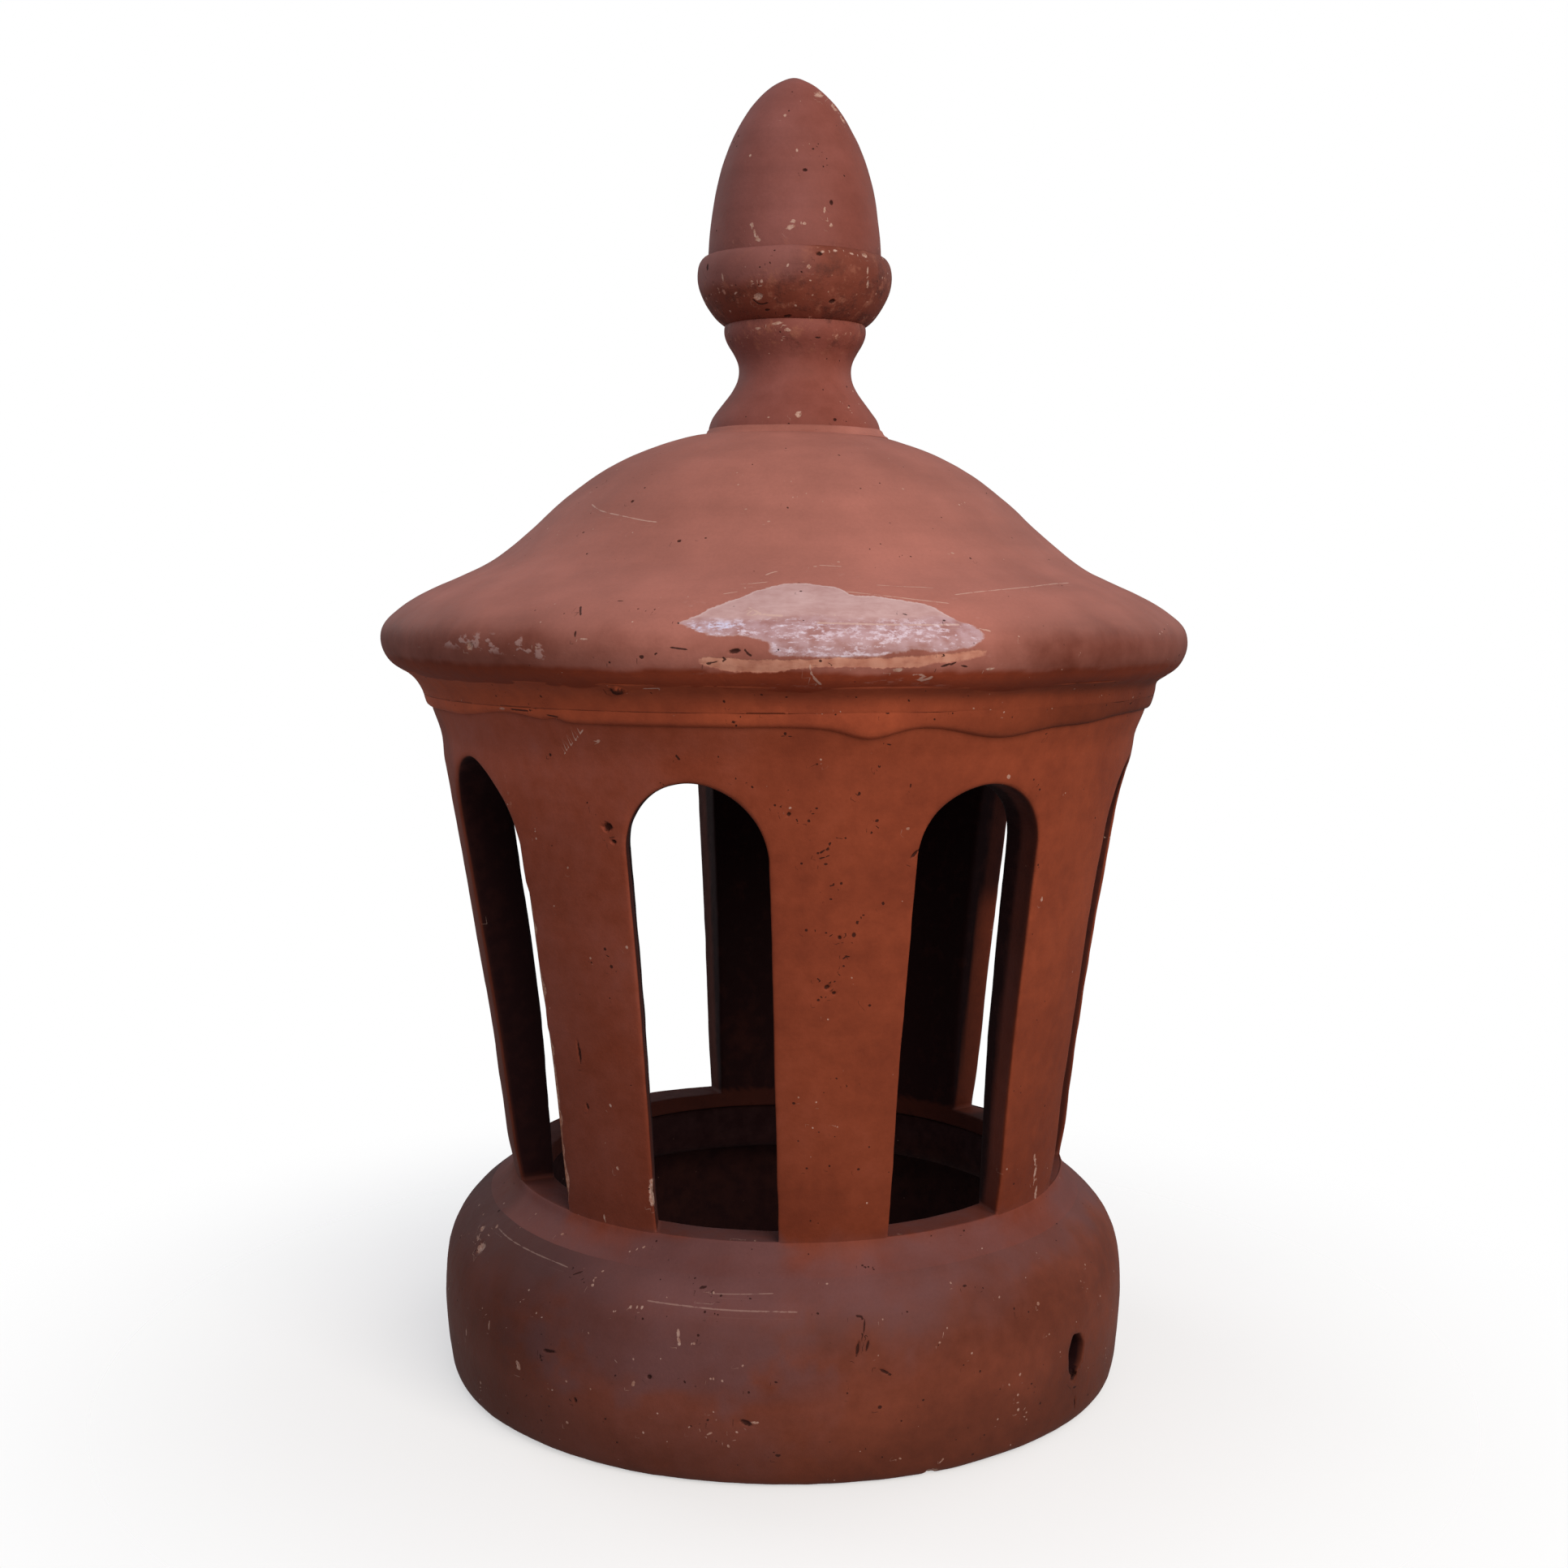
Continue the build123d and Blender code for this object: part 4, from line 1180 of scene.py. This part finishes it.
class Shader:
    """Adds nodes to one material."""

    def __init__(self, name):
        self.material = bpy.data.materials.new(name)
        self.material.use_nodes = True
        self.tree = self.material.node_tree
        self.surface = self.tree.nodes["Principled BSDF"].inputs
        self.place = self.vector("SCALE", self.get("ShaderNodeTexCoord", output="Object"), scale=1 / MM)

    def add(self, kind, inputs=(), **settings):
        """A new node."""
        node = self.tree.nodes.new(kind)
        for key, value in settings.items():
            setattr(node, key, value)
        for key, value in dict(inputs).items():
            self.give(node.inputs[key], value)
        return node

    def get(self, kind, inputs=(), output=0, **settings):
        """One output of a new node."""
        return Value(self, self.add(kind, inputs, **settings).outputs[output])

    def split(self, kind, value):
        """The three parts of a vector or a colour."""
        return [Value(self, output) for output in self.add(kind, {0: value}).outputs]

    def give(self, socket, value):
        if isinstance(value, Value):
            self.tree.links.new(value.socket, socket)
        else:
            socket.default_value = value

    def math(self, operation, a, b=0.0):
        return self.get("ShaderNodeMath", {0: a, 1: b}, operation=operation)

    def vector(self, operation, a, b=(0, 0, 0), scale=1.0):
        inputs = {0: a, "Scale": scale} if operation == "SCALE" else {0: a, 1: b}
        return self.get("ShaderNodeVectorMath", inputs, operation=operation)

    def step(self, value, low, high, bottom=0.0, top=1.0):
        inputs = {"Value": value, "From Min": low, "From Max": high, "To Min": bottom, "To Max": top}
        return self.get("ShaderNodeMapRange", inputs, interpolation_type="SMOOTHSTEP")

    def mix(self, share, a, b):
        a, b = [colour if isinstance(colour, Value) else (*colour, 1.0) for colour in (a, b)]
        return self.get("ShaderNodeMix", {0: share, 6: a, 7: b}, output=2, data_type="RGBA")

    def shade(self, colour, factor):
        """A colour made lighter or darker."""
        return self.vector("SCALE", colour, scale=factor)

    def noise(self, size, seed, detail=2.0, squash=(1, 1, 1), roughness=0.5):
        """Noise from about -1 to 1 with bumps of one size, in millimetres."""
        place = self.vector("MULTIPLY", self.place, squash)
        place = self.vector("ADD", place, (137.0 * seed, 71.0 * seed, 29.0 * seed))
        inputs = {"Vector": place, "Scale": 1 / size, "Detail": detail, "Roughness": roughness}
        return 3.2 * (self.get("ShaderNodeTexNoise", inputs) - 0.5)

    def grains(self, cell, radius, share, seed):
        """Small round grains in some of the cells of a 3-D grid, 1 at their middle."""
        place = self.vector("ADD", self.place, (53.0 * seed, 19.0 * seed, 83.0 * seed))
        voronoi = self.add("ShaderNodeTexVoronoi", {"Vector": place, "Scale": 1 / cell, "Randomness": 1.0})
        distance, colour = [Value(self, voronoi.outputs[key]) for key in ("Distance", "Color")]
        chance, size, _ = self.split("ShaderNodeSeparateColor", colour)
        picked = self.math("LESS_THAN", chance, share)
        size = self.step(size, 0.0, 1.0, 0.5 * radius, 1.4 * radius)
        return self.step(distance * cell / size, 1.0, 0.55) * picked

    def kept(self, name, output="Fac"):
        """What weather() kept on the mesh under this name."""
        return self.get("ShaderNodeAttribute", output=output, attribute_name=name)

    def parts(self, name):
        return self.split("ShaderNodeSeparateXYZ", self.kept(name, "Vector"))

    def spots(self, name, wobble, low, high):
        """Where the marked spots are, with uneven edges."""
        u, v, near = self.parts(name)
        away = self.math("SQRT", u * u + v * v) + wobble
        return self.step(away, low, high) * self.step(near, 0.5, 0.98)

    def strokes(self, name, wobble, broken):
        """Where the scratches are, breaking up and tapering to their ends."""
        offset, inset, near = self.parts(name)
        away = abs(offset) + wobble + self.step(inset, 0.0, 2.4, 2.2, 0.0) + broken
        return self.step(away, 1.15, 0.6) * self.step(near, 0.5, 0.98)


ROUGHNESS = 0.62
# soot stain and painted shade, for the inside and the sides of the openings
SOOT_SHADE = (0.016, 0.0040, 0.0046)
CRUST = (0.066, 0.023, 0.019)
# PORE and the dark end of PIT_FLOOR are painted shade inside pores and pits; the pale end is grit
PORE = (0.022, 0.007, 0.006)
BARE_CLAY = ((0.30, 0.11, 0.066), (0.56, 0.30, 0.21))
CHIPPED_CLAY = ((0.36, 0.17, 0.11), (0.62, 0.44, 0.37))
PIT_FLOOR = ((0.028, 0.008, 0.006), (0.42, 0.27, 0.22))


def clay(name, light, deep, dust, mottle=1.0, extra=None, scored=0.6, flecked=0.7):
    """Weathered terracotta: mottled body, dusty bloom, pores, flecks, marks and soot, with painted light and
    shade.

    Heights are gathered in millimetres for the bump. Extra adds what only some clays have."""
    s = Shader(name)
    broad = s.noise(95.0, 1, 1.0)
    middle = s.noise(27.0, 2, 2.0)
    small = s.noise(6.5, 3, 2.0)
    grain = s.noise(1.5, 4, 3.0, roughness=0.62)
    rings = s.noise(9.0, 5, 3.0, squash=(0.06, 0.06, 1.0))

    # body
    tone = 0.52 + 0.26 * mottle * broad + 0.24 * mottle * middle + 0.12 * small
    colour = s.mix(s.step(tone, 0.0, 1.0), deep, light)
    colour = s.shade(colour, 1.0 + 0.045 * rings + 0.06 * grain + 0.05 * small)
    height = 0.05 * small + 0.028 * grain + 0.045 * rings

    # dusty bloom, thinner where it was rubbed
    bloom_share = s.kept("bloom")
    rubbed = 0.22 * middle + 0.14 * small + 0.16 * broad
    dusted = 0.97 * s.step(bloom_share + 0.55 * rubbed, 0.1, 0.95) * s.step(bloom_share, 0.0, 0.12)
    drift = s.step(0.6 * middle + 0.6 * broad + 0.25 * rings, -0.9, 0.9)
    dusty = s.mix(drift, [0.85 * part for part in dust], [1.12 * part for part in dust])
    colour = s.mix(dusted, colour, s.shade(dusty, 1.0 + 0.06 * grain + 0.05 * rings))
    roughness = ROUGHNESS + 0.06 * dusted + 0.05 * small + 0.035 * grain

    # painted highlight along the arris of the openings
    arris = s.kept("arris") * s.step(small + middle, -0.8, 1.0)
    colour = s.mix(0.16 * arris, colour, [1.3 * part for part in light])

    if extra:
        colour, roughness, height = extra(s, colour, roughness, height, (small, grain, middle))

    # painted light and shade of each region, then soot and painted shade on the inner side
    colour = s.shade(colour, s.kept("painted_light_shade_and_dirt"))
    soot_shade_share = s.kept("soot_and_shade") * (1.0 + 0.10 * small)
    colour = s.mix(s.math("MINIMUM", soot_shade_share, 0.985), colour, SOOT_SHADE)
    roughness += 0.12 * soot_shade_share

    # bare clay on the broken jamb
    bare = s.step(s.kept("broken") + 0.25 * grain, -0.1, 0.45)
    colour = s.mix(bare, colour, s.mix(s.step(grain, -0.6, 0.8), *BARE_CLAY))
    height += 0.12 * bare * grain

    # pores and grit of the clay itself, gathered in some places; the pores are painted dark as shade
    crowded = s.step(middle + small, -0.7, 0.9, 0.25, 1.0)
    pores = s.grains(4.2, 0.36, 0.13, 1) * crowded
    grit = s.grains(5.2, 0.30, 0.12, 2) * crowded
    colour = s.mix(0.75 * pores, colour, PORE)
    colour = s.mix(0.55 * grit, colour, (0.50, 0.30, 0.24))
    height += 0.05 * grit - 0.20 * pores

    # marks: pits, pale chips, scratches and cuts; pits, holes and cuts are painted dark as the shade inside
    # them
    wobble = 0.26 * grain
    fleck = s.spots("fleck", wobble + 0.38 * s.noise(1.1, 6, 3.0), 1.05, 0.7)
    pit = s.spots("pit", wobble, 0.95, 0.55)
    scratch = s.strokes("scratch", wobble, s.step(small + 0.5 * grain, -0.2, 1.0, 0.0, 1.1))
    cut = s.strokes("cut", wobble, 0.0)
    colour = s.mix(flecked * fleck, colour, s.mix(s.step(grain, -0.8, 0.6), *CHIPPED_CLAY))
    colour = s.mix(scored * scratch, colour, (0.62, 0.42, 0.35))
    colour = s.mix(0.88 * pit, colour, s.mix(s.step(grain + 0.3 * small, 0.75, 1.15), *PIT_FLOOR))
    colour = s.mix(0.85 * cut, colour, (0.025, 0.008, 0.007))
    height += 0.05 * scratch + 0.03 * fleck - 0.22 * pit - 0.25 * cut
    roughness += 0.1 * fleck + 0.15 * pit

    s.give(s.surface["Base Color"], colour)
    s.give(s.surface["Roughness"], s.math("MINIMUM", roughness, 0.95))
    s.surface["Specular IOR Level"].default_value = 0.1
    s.give(s.surface["Normal"], s.get("ShaderNodeBump", {"Strength": 1.0, "Distance": MM, "Height": height}))
    return s.material


def crusting(s, colour, roughness, height, noises):
    """Dark lime and moss crust, with worn and flaked places in it."""
    _, grain, _ = noises
    share = s.kept("crust")
    scab = s.step(s.noise(13.0, 11, 4.0, roughness=0.68) + 0.3 * grain, -0.05, 0.75) * share
    colour = s.mix(0.72 * scab, colour, CRUST)
    worn = s.step(s.noise(7.0, 13, 3.0, roughness=0.6) + 0.3 * grain, 0.1, 0.75) * share
    colour = s.mix(0.6 * worn, colour, (0.34, 0.125, 0.080))
    specks = s.noise(2.4, 12, 3.0, roughness=0.6) + 0.6 * s.noise(9.0, 14, 2.0)
    flaked = s.step(specks, 0.6, 0.95) * share
    colour = s.mix(0.8 * flaked, colour, (0.46, 0.22, 0.16))
    return colour, roughness, height + 0.12 * scab + 0.12 * flaked + 0.05 * worn


def roof_patches(s, colour, roughness, height, noises):
    """The polished patch, whose silvery colour is partly painted reflection, the bare strip under it and the
    flaking to the left.
    """
    small, grain, middle = noises
    streaks = s.noise(4.4, 21, 3.0, squash=(0.16, 0.16, 1.0))
    fine = s.noise(1.5, 22, 4.0, squash=(0.30, 0.30, 1.0), roughness=0.65)
    bits = s.noise(1.15, 24, 3.0, squash=(0.55, 0.55, 1.0), roughness=0.7)
    painted_reflection = s.kept("painted_reflection")
    ragged = 0.8 * small + 0.5 * grain + 0.9 * streaks + 2.6 * fine * painted_reflection
    polished = s.kept("polished")
    inside = polished + ragged
    patch = s.step(inside, -0.3, 0.9)

    # the patch is smooth above and mottled below, with a bluish painted reflection brightest at its left
    up = s.split("ShaderNodeSeparateXYZ", s.place)[2]
    lower = s.step(up + 2.2 * middle + 1.4 * streaks, 358.4, 355.0)
    worn = 0.35 * streaks + 0.55 * fine + 0.5 * bits + 0.35 * painted_reflection
    smooth = s.mix(s.step(middle + 0.6 * fine, -1.0, 1.0), (0.42, 0.235, 0.225), (0.56, 0.37, 0.365))
    mottled = s.mix(s.step(small + 0.4 * fine, -0.9, 0.7), (0.33, 0.155, 0.145), (0.48, 0.32, 0.35))
    # pale and bluish-white painted reflection on the worn places of the patch
    mottled = s.mix(s.step(worn, 0.02, 0.4), mottled, (0.64, 0.52, 0.60))
    mottled = s.mix(s.step(worn, 0.38, 0.75), mottled, (0.80, 0.76, 0.86))
    mottled = s.mix(painted_reflection * s.step(worn, -0.1, 0.8), mottled, (0.62, 0.66, 0.92))
    colour = s.mix(patch * (1.0 - 0.14 * lower), colour, s.mix(lower, smooth, mottled))

    # its pale edge, and the streaks about it, with a painted sheen
    edge = s.step(inside, -0.4, 0.15) * s.step(inside, 1.0, 0.4) * (1.0 - 0.75 * lower)
    colour = s.mix(0.5 * edge, colour, (0.66, 0.52, 0.52))
    sheen_and_streaks = s.step(polished, -22.0, -2.0) * s.step(streaks + fine, 0.55, 1.3)
    colour = s.mix(0.30 * sheen_and_streaks * (1.0 - patch), colour, (0.60, 0.38, 0.34))
    roughness += -0.30 * patch - 0.1 * sheen_and_streaks
    height *= 1.0 - 0.55 * patch

    strip = s.step(s.kept("stripped") + 0.9 * ragged - 0.3, -0.2, 0.7)
    orange = s.mix(s.step(small, -1.0, 1.0), (0.44, 0.165, 0.105), (0.60, 0.29, 0.21))
    colour = s.mix(strip * s.step(small + fine, -1.3, 0.2, 0.35, 0.9), colour, orange)
    height += -0.15 * strip

    flakes = s.step(s.noise(4.2, 23, 3.0, squash=(0.6, 0.6, 1.0), roughness=0.6) + 0.2 * middle, 0.18, 0.42)
    flakes *= s.step(s.kept("flaked") + 1.2 * small, -1.5, 1.0)
    colour = s.mix(0.8 * flakes, colour, (0.50, 0.29, 0.26))
    return colour, roughness, height + 0.08 * flakes


# The light and the deep colour of each clay's body, and the colour of the dust on it
CLAY_COLOURS = {
    "base_clay": ((0.205, 0.050, 0.026), (0.12, 0.028, 0.015), (0.125, 0.052, 0.051)),
    "drum_clay": ((0.258, 0.053, 0.022), (0.167, 0.032, 0.0145), (0.155, 0.062, 0.060)),
    "roof_clay": ((0.20, 0.036, 0.014), (0.145, 0.024, 0.010), (0.37, 0.138, 0.108)),
    "finial_clay": ((0.25, 0.062, 0.038), (0.185, 0.047, 0.032), (0.245, 0.088, 0.078)),
    "cup_clay": ((0.20, 0.049, 0.028), (0.15, 0.039, 0.026), (0.25, 0.092, 0.080)),
}
CLAY_SETTINGS = {
    "base_clay": {"scored": 0.22, "flecked": 0.5},
    "drum_clay": {"flecked": 0.62},
    "roof_clay": {"mottle": 0.9, "extra": roof_patches, "scored": 0.5, "flecked": 0.62},
    "finial_clay": {"extra": crusting},
    "cup_clay": {"extra": crusting},
}


def materials():
    """One clay for each material slot of the CAD model."""
    return {name: clay(name, *colours, **CLAY_SETTINGS[name]) for name, colours in CLAY_COLOURS.items()}


# ---------------------------------------------------------------- assembly

PIECES = (
    ("base_ring", base_ring, "base_clay"),
    ("foot_lute", foot_lute, "drum_clay"),
    ("drum", drum, "drum_clay"),
    ("cornice_band", cornice_band, "drum_clay"),
    ("rim_lute", rim_lute, "drum_clay"),
    ("roof", roof, "roof_clay"),
    ("finial_lute", finial_lute, "roof_clay"),
    ("finial_stem", finial_stem, "finial_clay"),
    ("acorn_cup", acorn_cup, "cup_clay"),
    ("acorn", acorn, "finial_clay"),
)


def build():
    clays = materials()
    for number, (name, make, slot) in enumerate(PIECES):
        piece, skin = make()
        marks = HOLES.get(name, []) + CHIPS.get(name, [])
        places = [skin.point(turn, height) for turn, height, *_ in marks]
        reach = [max(mark[2:4]) for mark in marks]
        if name == "drum":
            places += [skin.point(CHIPPED_JAMB, height) for height in CHIPPED_HEIGHTS]
            reach += [1.6] * len(CHIPPED_HEIGHTS)
        refine(piece, places, reach)
        weather(name, piece, skin, number)
        points = coordinates(piece)
        sunk = hollows(name, skin, points / MM)
        if name == "drum":
            sunk += 0.8 * ramp(broken_arris(skin, points / MM), -0.2, 1.6)
        moved = points + hand_work(piece, 0 if name in BONDED else 10 * number)
        moved -= normals(piece) * (sunk * MM)[:, None]
        set_coordinates(piece, settle(name, moved))
        piece.data.shade_smooth()
        piece.data.materials.append(clays[slot])
        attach(piece, "root")
        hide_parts(name)


# ---------------------------------------------------------------- camera, floor and light

CAMERA_DISTANCE = 0.9392
CAMERA_HEIGHT = 0.3732
CAMERA_PITCH = 5.97
LENS = 45.62


def camera():
    data = bpy.data.cameras.new("camera")
    data.lens = LENS
    view = new_object("camera", data)
    view.location = (0, -CAMERA_DISTANCE, CAMERA_HEIGHT)
    view.rotation_euler = (math.radians(90 - CAMERA_PITCH), 0, 0)
    bpy.context.scene.camera = view


def area_light(name, place, aim, size, power, colour=(1, 1, 1)):
    data = bpy.data.lights.new(name, "AREA")
    data.shape = "RECTANGLE"
    data.size, data.size_y = size
    data.energy = power
    data.color = colour
    light = new_object(name, data)
    light.location = place
    light.rotation_euler = (Vector(aim) - Vector(place)).to_track_quat("-Z", "Y").to_euler()


def floor():
    """A pale floor that fades out, so that no horizon shows."""
    turns = np.linspace(0, 2 * math.pi, 96, endpoint=False)
    mesh = bpy.data.meshes.new("floor")
    mesh.from_pydata([(3 * math.cos(t), 3 * math.sin(t), 0) for t in turns], [], [tuple(range(96))])
    disc = new_object("floor", mesh)
    s = Shader("pale_floor")
    s.surface["Base Color"].default_value = (0.9, 0.9, 0.9, 1)
    s.surface["Roughness"].default_value = 0.85
    s.surface["Emission Color"].default_value = (1, 1, 1, 1)
    s.surface["Emission Strength"].default_value = 0.1
    away = s.get("ShaderNodeVectorMath", {0: s.place}, output="Value", operation="LENGTH")
    s.give(s.surface["Alpha"], s.step(away, 460.0, 180.0, 0.0, 0.55))
    mesh.materials.append(s.material)


def world():
    """White behind the object; as a light it is dimmer, and darker from below."""
    sky = bpy.data.worlds.new("studio")
    sky.use_nodes = True
    tree = sky.node_tree
    background = tree.nodes["Background"]
    place = tree.nodes.new("ShaderNodeTexCoord").outputs["Generated"]
    split = tree.nodes.new("ShaderNodeSeparateXYZ")
    tree.links.new(place, split.inputs[0])
    shade = tree.nodes.new("ShaderNodeValToRGB")
    shade.color_ramp.elements[0].position = 0.30
    shade.color_ramp.elements[0].color = (0.20, 0.195, 0.195, 1)
    shade.color_ramp.elements[1].position = 0.85
    shade.color_ramp.elements[1].color = (0.45, 0.46, 0.51, 1)
    lifted = tree.nodes.new("ShaderNodeMapRange")
    lifted.inputs["From Min"].default_value = -1.0
    tree.links.new(split.outputs[2], lifted.inputs["Value"])
    tree.links.new(lifted.outputs[0], shade.inputs[0])
    mix = tree.nodes.new("ShaderNodeMix")
    mix.data_type = "RGBA"
    tree.links.new(tree.nodes.new("ShaderNodeLightPath").outputs["Is Camera Ray"], mix.inputs[0])
    tree.links.new(shade.outputs[0], mix.inputs[6])
    mix.inputs[7].default_value = (1, 1, 1, 1)
    tree.links.new(mix.outputs[2], background.inputs["Color"])
    bpy.context.scene.world = sky


def lights():
    area_light("key", (0.85, -1.6, 1.25), (0, 0, 0.3), (1.5, 1.3), 35, (1.0, 0.92, 0.81))
    area_light("back_left", (-1.6, 1.3, 1.2), (0, 0, 0.3), (1.2, 1.2), 9)
    area_light("back_right", (1.6, 1.2, 1.2), (0, 0, 0.3), (1.2, 1.2), 6)


build()
camera()
floor()
world()
lights()
bpy.context.scene.view_settings.view_transform = "Standard"
